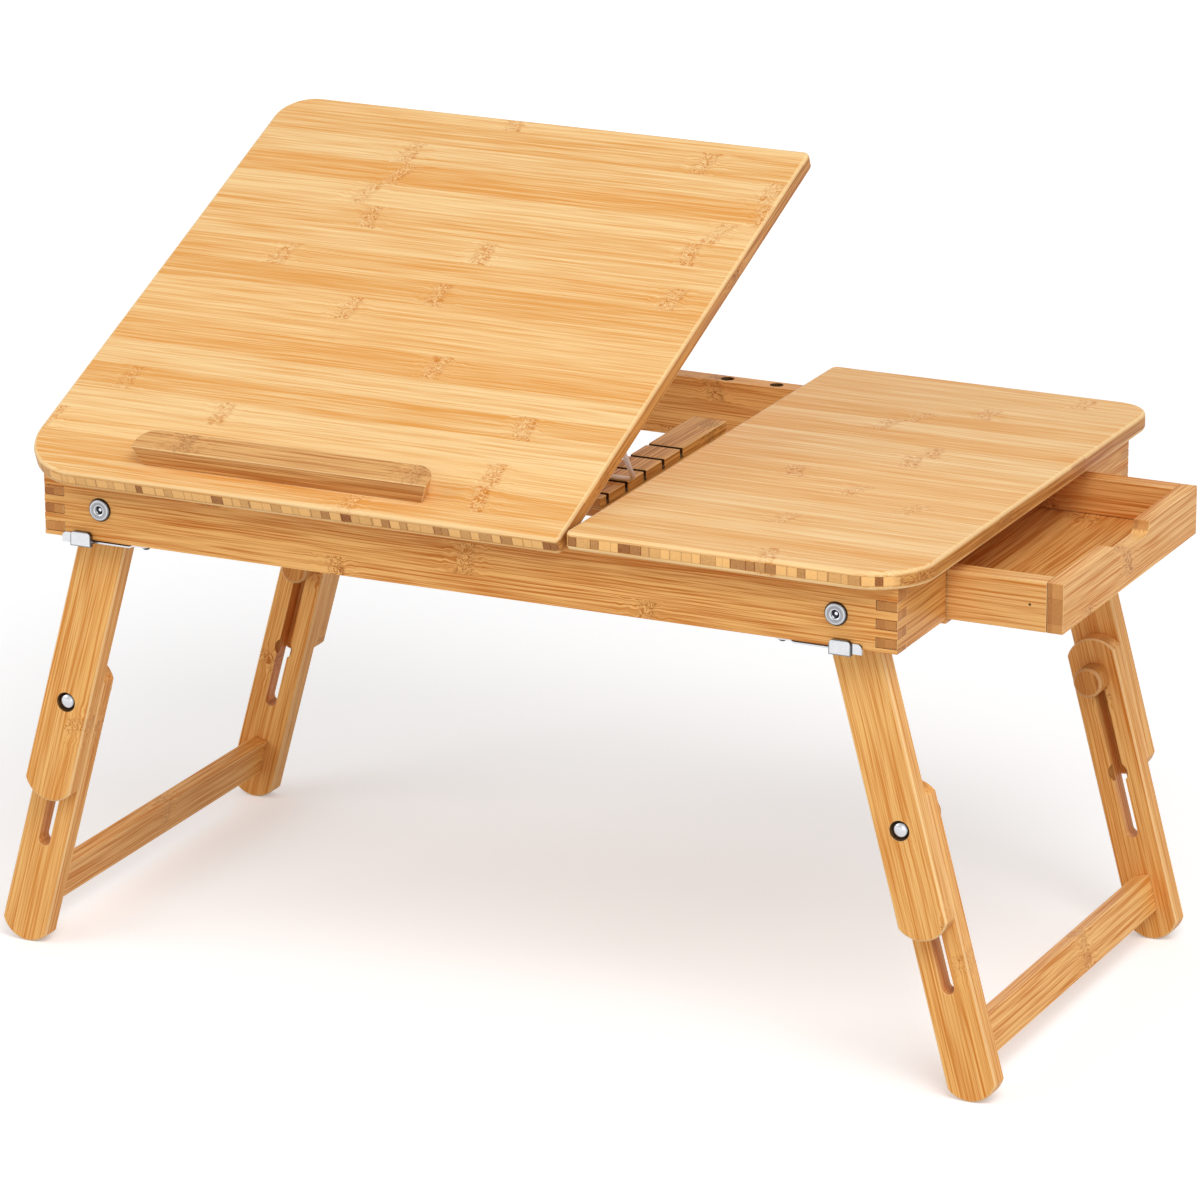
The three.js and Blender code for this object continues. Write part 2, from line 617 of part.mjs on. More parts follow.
// The stretcher stands between the lower legs of one frame
function stretcher() {
  return box(
    [-STRETCHER_THICKNESS / 2, legInnerY + CLEARANCE, -STRETCHER_REACH - STRETCHER_HEIGHT],
    [STRETCHER_THICKNESS / 2, APRON_DEPTH - legInnerY - CLEARANCE, -STRETCHER_REACH],
  );
}

// Flanged socket bolt through the rail and the upper leg, its end short of the leg's inner face
function pivotBolt() {
  const end = upperLegY + LEG_THICKNESS - CLEARANCE;
  const face = -PIVOT_HEAD_HEIGHT - CLEARANCE;
  const socketFloor = face + PIVOT_SOCKET_DEPTH;
  return turned([
    [0, socketFloor], [PIVOT_SOCKET_RADIUS, socketFloor], [PIVOT_SOCKET_RADIUS, face],
    [PIVOT_HEAD_RADIUS - PIVOT_HEAD_HEIGHT / 2, face], [PIVOT_HEAD_RADIUS, face + PIVOT_HEAD_HEIGHT / 2],
    [PIVOT_HEAD_RADIUS, -CLEARANCE], [BOLT_RADIUS, -CLEARANCE], [BOLT_RADIUS, end], [0, end],
  ]);
}

// Round-headed bolt from the upper leg's outer face, through the slot, into the knob
function clampBolt() {
  const seat = upperLegY + CLAMP_COUNTERBORE_DEPTH - CLEARANCE;
  const end = legInnerY + CLEARANCE + KNOB_BORE_DEPTH - CLEARANCE;
  const profile = [[0, seat - CLAMP_HEAD_HEIGHT]];
  const domeSteps = CORNER_STEPS / 2;
  for (let step = 1; step <= domeSteps; step += 1) {
    const angle = (step / domeSteps) * quarter;
    profile.push([CLAMP_HEAD_RADIUS * Math.sin(angle), seat - CLAMP_HEAD_HEIGHT * Math.cos(angle)]);
  }
  profile.push([BOLT_RADIUS, seat], [BOLT_RADIUS, end], [0, end]);
  return turned(profile);
}

function knob() {
  const start = legInnerY + CLEARANCE;
  const end = start + KNOB_THICKNESS;
  const edge = KNOB_RADIUS - KNOB_EDGE_ROUND;
  return turned([
    [0, start + KNOB_BORE_DEPTH], [holeRadius, start + KNOB_BORE_DEPTH], [holeRadius, start],
    [edge, start], [KNOB_RADIUS, start + KNOB_EDGE_ROUND],
    [KNOB_RADIUS, end - KNOB_EDGE_ROUND], [edge, end], [0, end],
  ]);
}

// An upright plate in X and Z whose upper corners are round
function roundedPlate(left, right, low, high, round) {
  const shape = new THREE.Shape();
  shape.moveTo(left, low);
  shape.lineTo(right, low);
  shape.absarc(right - round, high - round, round, 0, quarter, false);
  shape.absarc(left + round, high - round, round, quarter, 2 * quarter, false);
  return shape;
}

// A spring catch drawn from its screw, its free end towards +X when side is 1 and -X when it is -1.
// Its strip leaves the rail beyond the screw and carries a finger tab with a small wing
function springCatch(side) {
  const half = CATCH_STRIP_WIDTH / 2;
  const middle = RAIL_THICKNESS / 2;
  const tabFront = -CLEARANCE - CATCH_TAB_DEPTH;
  const tabStart = CATCH_REACH - CATCH_TAB_WIDTH;
  const level = -CLEARANCE - CATCH_THICKNESS;
  const low = level - CATCH_BOW - CUT_OVERRUN;
  const points = [
    [-CATCH_TIP_LENGTH, middle], [0, middle - half], [tabStart, middle - half], [tabStart, tabFront],
    [CATCH_REACH, tabFront], [CATCH_REACH, middle + half], [0, middle + half],
  ].map(([x, y]) => [side * x, y]);
  const plan = outline(side > 0 ? points : points.reverse());
  const hole = new THREE.Path();
  hole.absarc(0, middle, SCREW_RADIUS + SCREW_HOLE_PLAY, 0, 2 * Math.PI, true);
  plan.holes.push(hole);
  const blank = new THREE.ExtrudeGeometry(plan, {
    depth: -low, bevelEnabled: false, curveSegments: SMALL_CORNER_STEPS,
  }).translate(0, 0, low);
  const past = CATCH_TIP_LENGTH + CUT_OVERRUN;
  const bowed = CATCH_SEAT_LENGTH + 2 * CATCH_BOW;
  const profile = outline([
    [-past, level], [CATCH_SEAT_LENGTH, level], [bowed, level - CATCH_BOW],
    [CATCH_REACH + CUT_OVERRUN, level - CATCH_BOW], [CATCH_REACH + CUT_OVERRUN, -CLEARANCE - CATCH_BOW],
    [bowed, -CLEARANCE - CATCH_BOW], [CATCH_SEAT_LENGTH, -CLEARANCE], [-past, -CLEARANCE],
  ].map(([x, z]) => [side * x, z]));
  const reach = half + middle - tabFront;
  const strip = common(blank, standAlongX(profile, reach).translate(0, tabFront, 0));
  const inOrder = (...places) => places.map((place) => side * place).sort((a, b) => a - b);
  const tab = standAlongX(roundedPlate(
    ...inOrder(tabStart, CATCH_REACH), -CATCH_TAB_DROP, CATCH_TAB_RISE, CATCH_TAB_ROUND,
  ), CATCH_TAB_DEPTH, SMALL_CORNER_STEPS).translate(0, tabFront, 0);
  const wingEnd = CATCH_REACH + CATCH_WING_LENGTH;
  const wing = standAlongX(roundedPlate(
    ...inOrder(tabStart, wingEnd), -CATCH_WING_DROP, CATCH_WING_RISE, CATCH_WING_ROUND,
  ), CATCH_WING_DEPTH, SMALL_CORNER_STEPS).translate(0, -CLEARANCE - CATCH_WING_DEPTH, 0);
  return join(strip, tab, wing);
}

function catchScrew() {
  const head = -2 * CLEARANCE - CATCH_THICKNESS;
  return turned([
    [0, head - SCREW_HEAD_HEIGHT], [SCREW_HEAD_RADIUS / 2, head - SCREW_HEAD_HEIGHT],
    [SCREW_HEAD_RADIUS, head], [SCREW_RADIUS, head], [SCREW_RADIUS, SCREW_LENGTH], [0, SCREW_LENGTH],
  ], SMALL_ROUND_STEPS).rotateX(quarter).translate(0, RAIL_THICKNESS / 2, 0);
}

// Drawer pieces, measured from the front guide's inner face and the drawer's own front
const drawerY = guideFace + DRAWER_SIDE_PLAY;
const drawerWidth = APRON_DEPTH - 2 * drawerY;
const drawerRight = APRON_LENGTH + DRAWER_OPEN;
const drawerLeft = drawerRight - DRAWER_LENGTH;

function drawerFront() {
  const middle = drawerWidth / 2;
  const half = SCOOP_WIDTH / 2;
  const cornerInset = half - SCOOP_RADIUS;
  const low = DRAWER_HEIGHT - SCOOP_DEPTH;
  const shape = new THREE.Shape();
  shape.moveTo(0, 0);
  shape.lineTo(drawerWidth, 0);
  shape.lineTo(drawerWidth, DRAWER_HEIGHT);
  shape.lineTo(middle + half, DRAWER_HEIGHT);
  shape.lineTo(middle + half, low + SCOOP_RADIUS);
  shape.absarc(middle + cornerInset, low + SCOOP_RADIUS, SCOOP_RADIUS, 0, -quarter, true);
  shape.lineTo(middle - cornerInset, low);
  shape.absarc(middle - cornerInset, low + SCOOP_RADIUS, SCOOP_RADIUS, -quarter, -2 * quarter, true);
  shape.lineTo(middle - half, DRAWER_HEIGHT);
  shape.lineTo(0, DRAWER_HEIGHT);
  const panel = standAlongY(shape, DRAWER_FRONT_THICKNESS);
  const groove = box(
    [-CUT_OVERRUN, DRAWER_WALL_THICKNESS - DRAWER_GROOVE_DEPTH, DRAWER_FLOOR_LIFT - CLEARANCE],
    [DRAWER_GROOVE_DEPTH, drawerWidth - DRAWER_WALL_THICKNESS + DRAWER_GROOVE_DEPTH,
      DRAWER_FLOOR_LIFT + DRAWER_FLOOR_THICKNESS + CLEARANCE],
  );
  return cut(panel, groove).translate(drawerRight - DRAWER_FRONT_THICKNESS, drawerY, 0);
}

const drawerWallEnd = drawerRight - DRAWER_FRONT_THICKNESS - CLEARANCE;

function drawerSide() {
  const wall = box([drawerLeft, 0, 0], [drawerWallEnd, DRAWER_WALL_THICKNESS, DRAWER_HEIGHT]);
  const groove = box(
    [drawerLeft - CUT_OVERRUN, DRAWER_WALL_THICKNESS - DRAWER_GROOVE_DEPTH, DRAWER_FLOOR_LIFT - CLEARANCE],
    [drawerWallEnd + CUT_OVERRUN, DRAWER_WALL_THICKNESS + CUT_OVERRUN,
      DRAWER_FLOOR_LIFT + DRAWER_FLOOR_THICKNESS + CLEARANCE],
  );
  return cut(wall, groove).translate(0, drawerY, 0);
}

// The back stands on the floor panel, between the sides
function drawerBack() {
  const inset = drawerY + DRAWER_WALL_THICKNESS + CLEARANCE;
  const low = DRAWER_FLOOR_LIFT + DRAWER_FLOOR_THICKNESS + CLEARANCE;
  const right = drawerLeft + DRAWER_WALL_THICKNESS;
  return box([drawerLeft, inset, low], [right, APRON_DEPTH - inset, DRAWER_HEIGHT]);
}

function drawerFloor() {
  const inset = drawerY + DRAWER_WALL_THICKNESS - DRAWER_GROOVE_DEPTH + CLEARANCE;
  const front = drawerRight - DRAWER_FRONT_THICKNESS + DRAWER_GROOVE_DEPTH - CLEARANCE;
  return box(
    [drawerLeft, inset, DRAWER_FLOOR_LIFT],
    [front, APRON_DEPTH - inset, DRAWER_FLOOR_LIFT + DRAWER_FLOOR_THICKNESS],
  );
}

// The table, from the apron's front left bottom corner
const table = new THREE.Group();

function buildApron() {
  const mortised = cut(longRail(), ...deskHingePlaces.map(railMortise));
  addMesh(table, 'front_rail', mortised, railWood);
  const bored = cut(longRail(), ...topHoles);
  addMesh(table, 'back_rail', bored, railWood).position.y = APRON_DEPTH - RAIL_THICKNESS;
  addMesh(table, 'left_rail', leftRail(), railWood);
  const stub = stubRail();
  addMesh(table, 'right_rail_front', stub, railWood);
  const backStub = addMesh(table, 'right_rail_back', stub.clone(), railWood);
  backStub.position.set(2 * APRON_LENGTH - RAIL_THICKNESS, APRON_DEPTH, 0);
  backStub.rotation.z = Math.PI;
  const radii = [seamRadius, FRONT_CORNER_RADIUS, BACK_CORNER_RADIUS, seamRadius];
  addMesh(table, 'fixed_top', board(APRON_LENGTH + OVERHANG - fixedLeft, topDepth, radii), boardWood)
    .position.set(fixedLeft, -OVERHANG, boardLevel);
}

function buildBay() {
  const guide = drawerGuide();
  addMesh(table, 'drawer_guide_front', guide, railWood);
  const mirrored = addMesh(table, 'drawer_guide_back', mirrorFrontToBack(guide), railWood);
  mirrored.position.y = APRON_DEPTH;
  const bayRight = bayLeft + WALL_THICKNESS;
  const wall = box([bayLeft, guideOuter, 0], [bayRight, APRON_DEPTH - guideOuter, bayHeight]);
  addMesh(table, 'bay_wall', wall, railWood);
  addMesh(table, 'bar_ledge_left', ledge(RAIL_THICKNESS + CLEARANCE, leftBarX + BAR_WIDTH), barWood);
  addMesh(table, 'bar_ledge_right', ledge(rightBarX, bayLeft - CLEARANCE), barWood);
  addMesh(table, 'notched_bar_left', notchedBar(), barWood).position.x = leftBarX;
  addMesh(table, 'notched_bar_right', notchedBar(), barWood).position.x = rightBarX;
}

// A copy with y turned round, for pieces with no symmetry of their own
function mirrorFrontToBack(geometry) {
  const copy = geometry.clone().scale(1, -1, 1);
  const index = copy.index.array;
  for (let corner = 0; corner < index.length; corner += 3) {
    [index[corner], index[corner + 1]] = [index[corner + 1], index[corner]];
  }
  copy.computeVertexNormals();
  return copy;
}

function buildDesk() {
  const tilting = new THREE.Group();
  tilting.position.set(0, hingeAxisY, hingeAxisZ);
  tilting.rotation.x = tilt;
  table.add(tilting);
  addMesh(tilting, 'tilt_board', desk(), boardWood);
  addMesh(tilting, 'book_stop', bookStop(), stopWood).position.set(
    (deskRight - OVERHANG - STOP_LENGTH) / 2 - STOP_OFFSET,
    deskFrontY + STOP_SETBACK,
    deskLevel + BOARD_THICKNESS + CLEARANCE,
  );
  deskHingePlaces.forEach((x, index) => {
    const side = index === 0 ? 'left' : 'right';
    addMesh(tilting, `hinge_desk_leaf_${side}`, deskLeaf(), steel).position.x = x;
    addMesh(table, `hinge_rail_leaf_${side}`, railLeaf(), steel).position.set(x, hingeAxisY, hingeAxisZ);
  });
  const clipInset = PROP_BEND_RADIUS + CLEARANCE;
  const prop = new THREE.Group();
  prop.position.set(0, PROP_PIVOT_REACH, propPivotZ);
  tilting.add(prop);
  addMesh(prop, 'prop_clip_left', propClip(), steel).position.x = leftClipX + clipInset;
  addMesh(prop, 'prop_clip_right', propClip(), steel).position.x = rightClipX - clipInset - CLIP_WIDTH;
  addMesh(prop, 'prop_wire', propWire(), steel).rotation.x = -tilt - propRest;
}

function buildLegFrame(side, x, turn) {
  const frame = new THREE.Group();
  frame.position.set(x, 0, PIVOT_HEIGHT);
  frame.rotation.y = turn;
  table.add(frame);
  addFrontAndBack(frame, `${side}_upper_leg`, upperLeg(), legWood);
  addFrontAndBack(frame, `${side}_lower_leg`, lowerLeg(), legWood);
  addMesh(frame, `${side}_stretcher`, stretcher(), legWood);
  addFrontAndBack(frame, `${side}_clamp_bolt`, clampBolt().translate(0, 0, -CLAMP_REACH), steel);
  addFrontAndBack(frame, `${side}_knob`, knob().translate(0, 0, -CLAMP_REACH), legWood);
  const bolts = new THREE.Group();
  bolts.position.set(x, 0, PIVOT_HEIGHT);
  table.add(bolts);
  addFrontAndBack(bolts, `${side}_pivot_bolt`, pivotBolt(), steel);
}

function buildCatches() {
  for (const [side, x, outward] of [['left', screwPlaces[0], -1], ['right', screwPlaces[1], 1]]) {
    addMesh(table, `${side}_catch_front`, springCatch(outward), steel).position.x = x;
    const back = addMesh(table, `${side}_catch_back`, springCatch(-outward), steel);
    back.position.set(x, APRON_DEPTH, 0);
    back.rotation.z = Math.PI;
    const screws = new THREE.Group();
    screws.position.x = x;
    table.add(screws);
    addFrontAndBack(screws, `${side}_catch_screw`, catchScrew(), steel);
  }
}

function buildDrawer() {
  addMesh(table, 'drawer_front', drawerFront(), railWood);
  const side = drawerSide();
  addMesh(table, 'drawer_side_front', side, railWood);
  addMesh(table, 'drawer_side_back', mirrorFrontToBack(side), railWood).position.y = APRON_DEPTH;
  addMesh(table, 'drawer_back', drawerBack(), railWood);
  addMesh(table, 'drawer_floor', drawerFloor(), boardWood);
}

buildApron();
buildBay();
buildDesk();
buildLegFrame('left', PIVOT_INSET, radians(SPLAY_DEGREES));
buildLegFrame('right', APRON_LENGTH - PIVOT_INSET, -radians(SPLAY_DEGREES));
buildCatches();
buildDrawer();

// Stand the table on z = 0 with its outline centred
const group = new THREE.Group();
group.add(table);
group.updateMatrixWorld(true);
const bounds = new THREE.Box3().setFromObject(table, true);
const middle = bounds.getCenter(new THREE.Vector3());
table.position.set(-middle.x, -middle.y, -bounds.min.z);

export default group;
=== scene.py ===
"""Looks of the folding bamboo bed table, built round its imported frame.

Everything is in metres in the row frame. The bamboo is worked out from place alone: grain coordinates run
along the grain, across the strips and through the thickness of each piece, in millimetres.
"""
import json
import math

import bpy
from mathutils import Matrix, Vector


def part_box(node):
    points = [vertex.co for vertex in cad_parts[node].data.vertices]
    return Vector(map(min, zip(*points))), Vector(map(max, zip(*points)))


MM = 0.001
PHOTO_WIDTH = 1200  # pixels

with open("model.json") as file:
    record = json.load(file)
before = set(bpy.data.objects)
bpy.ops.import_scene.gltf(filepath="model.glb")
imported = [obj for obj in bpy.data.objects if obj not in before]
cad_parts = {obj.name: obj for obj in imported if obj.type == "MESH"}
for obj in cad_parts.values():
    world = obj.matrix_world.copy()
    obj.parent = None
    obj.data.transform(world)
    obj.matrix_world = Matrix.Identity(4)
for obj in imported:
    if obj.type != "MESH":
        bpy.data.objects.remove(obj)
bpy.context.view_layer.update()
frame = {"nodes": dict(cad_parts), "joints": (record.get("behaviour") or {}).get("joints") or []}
joints = {joint["name"]: joint for joint in frame["joints"]}

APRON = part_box("front_rail")[0]  # the apron's front left bottom corner
HINGE = Vector(joints["tilt_top"]["pos_m"])
TILT = math.radians(-joints["tilt_top"]["range_deg"][0])
SPLAY = math.atan2(joints["left_legs_slide"]["axis"][0], joints["left_legs_slide"]["axis"][2])
LEG_PIVOTS = {side: Vector(joints[f"{side}_legs_fold"]["pos_m"]) for side in ("left", "right")}


# Camera, fitted to the photograph and just wide enough for the whole drawer
CAMERA_PLACE = Vector((1833.2, -3141.8, 1116.3)) * MM  # from the apron's corner
CAMERA_AZIMUTH, CAMERA_DOWN, CAMERA_ROLL = -0.44125, 0.30898, 0.00137  # radians
FOCAL_PIXELS = 6655.0
SENSOR_WIDTH = 36.0
CLIP_END = 100


def add_camera():
    azimuth, down = CAMERA_AZIMUTH, CAMERA_DOWN
    forward = Vector((math.sin(azimuth) * math.cos(down), math.cos(azimuth) * math.cos(down),
                      -math.sin(down)))
    level = Vector((math.cos(azimuth), -math.sin(azimuth), 0))
    lower = forward.cross(level)
    right = math.cos(CAMERA_ROLL) * level + math.sin(CAMERA_ROLL) * lower
    lower = forward.cross(right)
    data = bpy.data.cameras.new("camera")
    data.sensor_width = SENSOR_WIDTH
    data.lens = FOCAL_PIXELS / PHOTO_WIDTH * SENSOR_WIDTH
    data.clip_end = CLIP_END
    camera = bpy.data.objects.new("camera", data)
    turn = Matrix((right, -lower, -forward)).transposed()
    camera.matrix_world = Matrix.Translation(APRON + CAMERA_PLACE) @ turn.to_4x4()
    bpy.context.scene.collection.objects.link(camera)
    bpy.context.scene.camera = camera


def linear(red, green, blue):
    """An sRGB colour from 0 to 255 as linear RGBA."""
    def channel(value):
        share = value / 255
        return share / 12.92 if share <= 0.04045 else ((share + 0.055) / 1.055) ** 2.4
    return (channel(red), channel(green), channel(blue), 1.0)


def grey(level):
    """A steel grey, a little blue."""
    return linear(level, level + 1, level + 4)


class Graph:
    """Short names for building one node tree. A socket or a plain value goes in wherever a value is asked."""

    def __init__(self, tree):
        self.tree = tree

    def node(self, kind, **settings):
        made = self.tree.nodes.new(kind)
        for name, value in settings.items():
            setattr(made, name, value)
        return made

    def put(self, socket, value):
        if isinstance(value, bpy.types.NodeSocket):
            self.tree.links.new(value, socket)
        elif value is not None:
            socket.default_value = value

    def math(self, operation, *values, clamp=False):
        made = self.node("ShaderNodeMath", operation=operation, use_clamp=clamp)
        for socket, value in zip(made.inputs, values):
            self.put(socket, value)
        return made.outputs[0]

    def step(self, low, high, value):
        """0 at low, 1 at high, smooth between; low may be above high."""
        made = self.node("ShaderNodeMapRange", interpolation_type="SMOOTHSTEP")
        flipped = low > high
        self.put(made.inputs["Value"], value)
        made.inputs["From Min"].default_value = min(low, high)
        made.inputs["From Max"].default_value = max(low, high)
        made.inputs["To Min"].default_value = 1.0 if flipped else 0.0
        made.inputs["To Max"].default_value = 0.0 if flipped else 1.0
        return made.outputs[0]

    def mix(self, share, first, second, blend="MIX"):
        made = self.node("ShaderNodeMix", data_type="RGBA", blend_type=blend, clamp_factor=True)
        self.put(made.inputs[0], share)
        self.put(made.inputs[6], first)
        self.put(made.inputs[7], second)
        return made.outputs[2]

    def vector(self, x, y, z):
        made = self.node("ShaderNodeCombineXYZ")
        for socket, value in zip(made.inputs, (x, y, z)):
            self.put(socket, value)
        return made.outputs[0]

    def split(self, vector):
        made = self.node("ShaderNodeSeparateXYZ")
        self.put(made.inputs[0], vector)
        return made.outputs

    def noise(self, vector, detail=2.0, roughness=0.5, scale=1.0, distortion=0.0):
        made = self.node("ShaderNodeTexNoise", noise_dimensions="3D")
        self.put(made.inputs["Vector"], vector)
        made.inputs["Scale"].default_value = scale
        made.inputs["Detail"].default_value = detail
        made.inputs["Roughness"].default_value = roughness
        made.inputs["Distortion"].default_value = distortion
        return made.outputs[0]

    def chance(self, first, second):
        """Three random numbers from 0 to 1 for a pair of numbers."""
        made = self.node("ShaderNodeTexWhiteNoise", noise_dimensions="2D")
        self.put(made.inputs["Vector"], self.vector(first, second, 0.0))
        return self.split(made.outputs["Color"])


def sum_of(graph, *terms):
    """Adds (socket, weight) terms."""
    total = None
    for socket, weight in terms:
        scaled = graph.math("MULTIPLY", socket, weight)
        total = scaled if total is None else graph.math("ADD", total, scaled)
    return total


# Bamboo. Lengths are millimetres, a fineness is turns per millimetre (along the grain, across it), and a
# pair that ends in SHOW is the value from which something shows and the value at which it is full.
STRIP_SEED, CELL_SEED, MARK_SEED, FIBRE_SEED = 7.31, 17.0, 3.7, 91.0  # keep chances apart
MARK_CELLS = 5.0  # how many spacings the strips' first marks are spread over
SEAM_SHOW = (0.45, 0.08)  # by distance from a strip's edge
MARK_SHIFT = 0.55  # share of the spacing that a node mark may move
MARK_LEAN, MARK_WOBBLE, WOBBLE_FINENESS = 14.0, 6.0, (0.09, 0.3)
MARK_SHOW = (0.1, 0.3)  # by chance, so some spacings have no mark
BAND_SHOW, NEAR_SHOW = (7.0, 2.5), (24.0, 1.0)  # by distance from a mark's middle
DRIFT, DRIFT_FINENESS = 2.2, (0.011, 0.05)
CURL, CURL_FINENESS = 6.5, (0.16, 0.22)
# Fibres: fineness along and across, start, detail, roughness
BROAD = (0.004, 0.2, 0.0, 2.0, 0.55)
STREAKS = (0.009, 0.7, 7.0, 2.0, 0.6)
FINE = (0.02, 1.3, 19.0, 1.0, 0.6)
LINES = (0.006, 1.05, 43.0, 1.0, 0.5)
DARK_LINE_SHOW, PALE_LINE_SHOW = (0.58, 0.68), (0.42, 0.32)
WHORL_FINENESS = (0.26, 0.4)
DARK_CURL_SHOW, PALE_CURL_SHOW, PALE_CURL_END_SHOW = (0.05, 0.015), (0.05, 0.07), (0.13, 0.1)
RIM_PLACE, RIM_SHOW = 4.2, (2.6, 0.3)  # the rim's place beside a mark's middle
FAINTEST_MARK = 0.62
BAND_CURLS, BAND_PLAIN, RIM_CURLS, RIM_PLAIN = 0.75, 0.2, 0.4, 0.22
PALE_CURLS, PALE_LINES = 0.7, 0.2
MIDDLE_TONE = 0.4
BROAD_TONE, STREAKS_TONE, FINE_TONE, LINES_TONE, SEAM_TONE = 1.3, 2.5, 2.6, 0.36, 0.6
FINE_HEIGHT, STREAKS_HEIGHT, MARK_HEIGHT, SEAM_HEIGHT, END_HEIGHT = 0.5, 0.3, -0.1, -0.25, 0.7
LAYER = 6.25
END_FINENESS, END_CONTRAST, BLOCK_POWER = 1.5, 0.8, 2.5


def bamboo_group():
    """Strips of bamboo with fibres and node marks; returns colour tone, height and masks.

    Tone is 0 in the palest wood and 1 in the darkest. Coordinates are millimetres in grain directions.
    """
    tree = bpy.data.node_groups.new("bamboo", "ShaderNodeTree")
    face = tree.interface
    for name in ("Along", "Across", "Through", "End", "Strip", "Spacing", "Seed", "Contrast", "Vary", "Seam",
                 "Block", "Layer"):
        face.new_socket(name, in_out="INPUT", socket_type="NodeSocketFloat")
    for name in ("Tone", "Mark", "Pale", "Warm", "Height"):
        face.new_socket(name, in_out="OUTPUT", socket_type="NodeSocketFloat")
    g = Graph(tree)
    given = g.node("NodeGroupInput").outputs
    along, across, through = given["Along"], given["Across"], given["Through"]

    def times(value, factor):
        return g.math("MULTIPLY", value, factor)

    def centred(value):
        return g.math("SUBTRACT", value, 0.5)

    def drawn_out(fineness):
        """Plain noise of the given fineness."""
        return g.noise(g.vector(times(along, fineness[0]), times(across, fineness[1]), through), detail=1.0)

    def fibres(lengthwise, crosswise, start, detail, roughness):
        """Noise drawn out along the grain."""
        place = g.vector(g.math("ADD", times(along, lengthwise), g.math("ADD", offset, start)),
                         times(swung, crosswise), times(through, crosswise))
        return g.noise(place, detail=detail, roughness=roughness)

    # Strips, each with chances of its own
    place = g.math("ADD", g.math("DIVIDE", across, given["Strip"]), times(given["Seed"], STRIP_SEED))
    strip = g.math("FLOOR", place)
    inside = g.math("FRACT", place)
    tone_chance, mark_chance, fibre_chance = g.chance(strip, given["Seed"])
    to_edge = g.math("MINIMUM", inside, g.math("SUBTRACT", 1.0, inside))
    seam = g.step(*SEAM_SHOW, times(to_edge, given["Strip"]))

    # Node marks: one in each spacing of a strip, at a place of its own, fanned out to one side
    turn = g.math("ADD", g.math("DIVIDE", along, given["Spacing"]), times(mark_chance, MARK_CELLS))
    cell = g.math("FLOOR", turn)
    local = times(centred(g.math("FRACT", turn)), given["Spacing"])
    shift_chance, lean_chance, shown_chance = g.chance(g.math("ADD", strip, times(cell, CELL_SEED)),
                                                       g.math("ADD", given["Seed"], MARK_SEED))
    shifted = g.math("ADD", local, times(centred(shift_chance), times(given["Spacing"], MARK_SHIFT)))
    lean = times(centred(lean_chance), times(centred(inside), MARK_LEAN))
    wobble = times(centred(drawn_out(WOBBLE_FINENESS)), MARK_WOBBLE)
    distance = g.math("ADD", g.math("ADD", shifted, lean), wobble)
    apart = g.math("ABSOLUTE", distance)
    shown = g.step(*MARK_SHOW, shown_chance)
    band = times(g.step(*BAND_SHOW, apart), shown)
    near = times(g.step(*NEAR_SHOW, apart), shown)

    # Fibres wander slowly and curl beside a node mark
    swung = g.math("ADD", across, times(centred(drawn_out(DRIFT_FINENESS)), DRIFT))
    swung = g.math("ADD", swung, times(near, times(centred(drawn_out(CURL_FINENESS)), CURL)))
    offset = times(fibre_chance, FIBRE_SEED)
    broad, streaks, fine, lines = (fibres(*kind) for kind in (BROAD, STREAKS, FINE, LINES))
    dark_line = g.step(*DARK_LINE_SHOW, lines)
    pale_line = g.step(*PALE_LINE_SHOW, lines)

    # Bundles curl through a mark as thin dark lines with pale ones beside them, darkest along one rim
    whorl = g.noise(g.vector(times(along, WHORL_FINENESS[0]), times(swung, WHORL_FINENESS[1]),
                             times(through, WHORL_FINENESS[1])), detail=2.0, roughness=0.55, distortion=0.6)
    contour = g.math("ABSOLUTE", centred(whorl))
    dark_curl = g.step(*DARK_CURL_SHOW, contour)
    pale_curl = times(g.step(*PALE_CURL_SHOW, contour), g.step(*PALE_CURL_END_SHOW, contour))
    rim = times(g.step(*RIM_SHOW, g.math("ABSOLUTE", g.math("SUBTRACT", distance, RIM_PLACE))), shown)
    strength = g.math("ADD", FAINTEST_MARK, times(lean_chance, 1.0 - FAINTEST_MARK))
    mark = g.math("ADD", times(band, g.math("ADD", times(dark_curl, BAND_CURLS), BAND_PLAIN)),
                  times(rim, g.math("ADD", times(dark_curl, RIM_CURLS), RIM_PLAIN)), clamp=True)
    mark = times(mark, strength)
    pale = g.math("MAXIMUM", times(times(band, pale_curl), PALE_CURLS), times(pale_line, PALE_LINES))

    tone = sum_of(g, (centred(broad), BROAD_TONE), (centred(streaks), STREAKS_TONE),
                  (centred(fine), FINE_TONE), (dark_line, LINES_TONE),
                  (times(seam, given["Seam"]), SEAM_TONE))
    tone = g.math("ADD", times(tone, given["Contrast"]), MIDDLE_TONE)
    tone = g.math("ADD", tone, times(centred(tone_chance), given["Vary"]), clamp=True)

    # End grain: bundles seen end on, as dots, in blocks with dark seams
    layer_chance = g.chance(g.math("FLOOR", g.math("DIVIDE", through, LAYER)), strip)[0]
    ends = g.noise(g.vector(times(across, END_FINENESS), times(through, END_FINENESS), offset),
                   detail=3.0, roughness=0.7)
    end_tone = g.math("ADD", times(centred(ends), END_CONTRAST),
                      times(g.math("POWER", tone_chance, BLOCK_POWER), given["Block"]))
    end_tone = g.math("ADD", end_tone, times(layer_chance, given["Layer"]))
    end_tone = g.math("ADD", end_tone, times(seam, given["Seam"]), clamp=True)

    def blended(first, second):
        made = g.node("ShaderNodeMix", data_type="FLOAT")
        g.put(made.inputs[0], given["End"])
        g.put(made.inputs[2], first)
        g.put(made.inputs[3], second)
        return made.outputs[0]

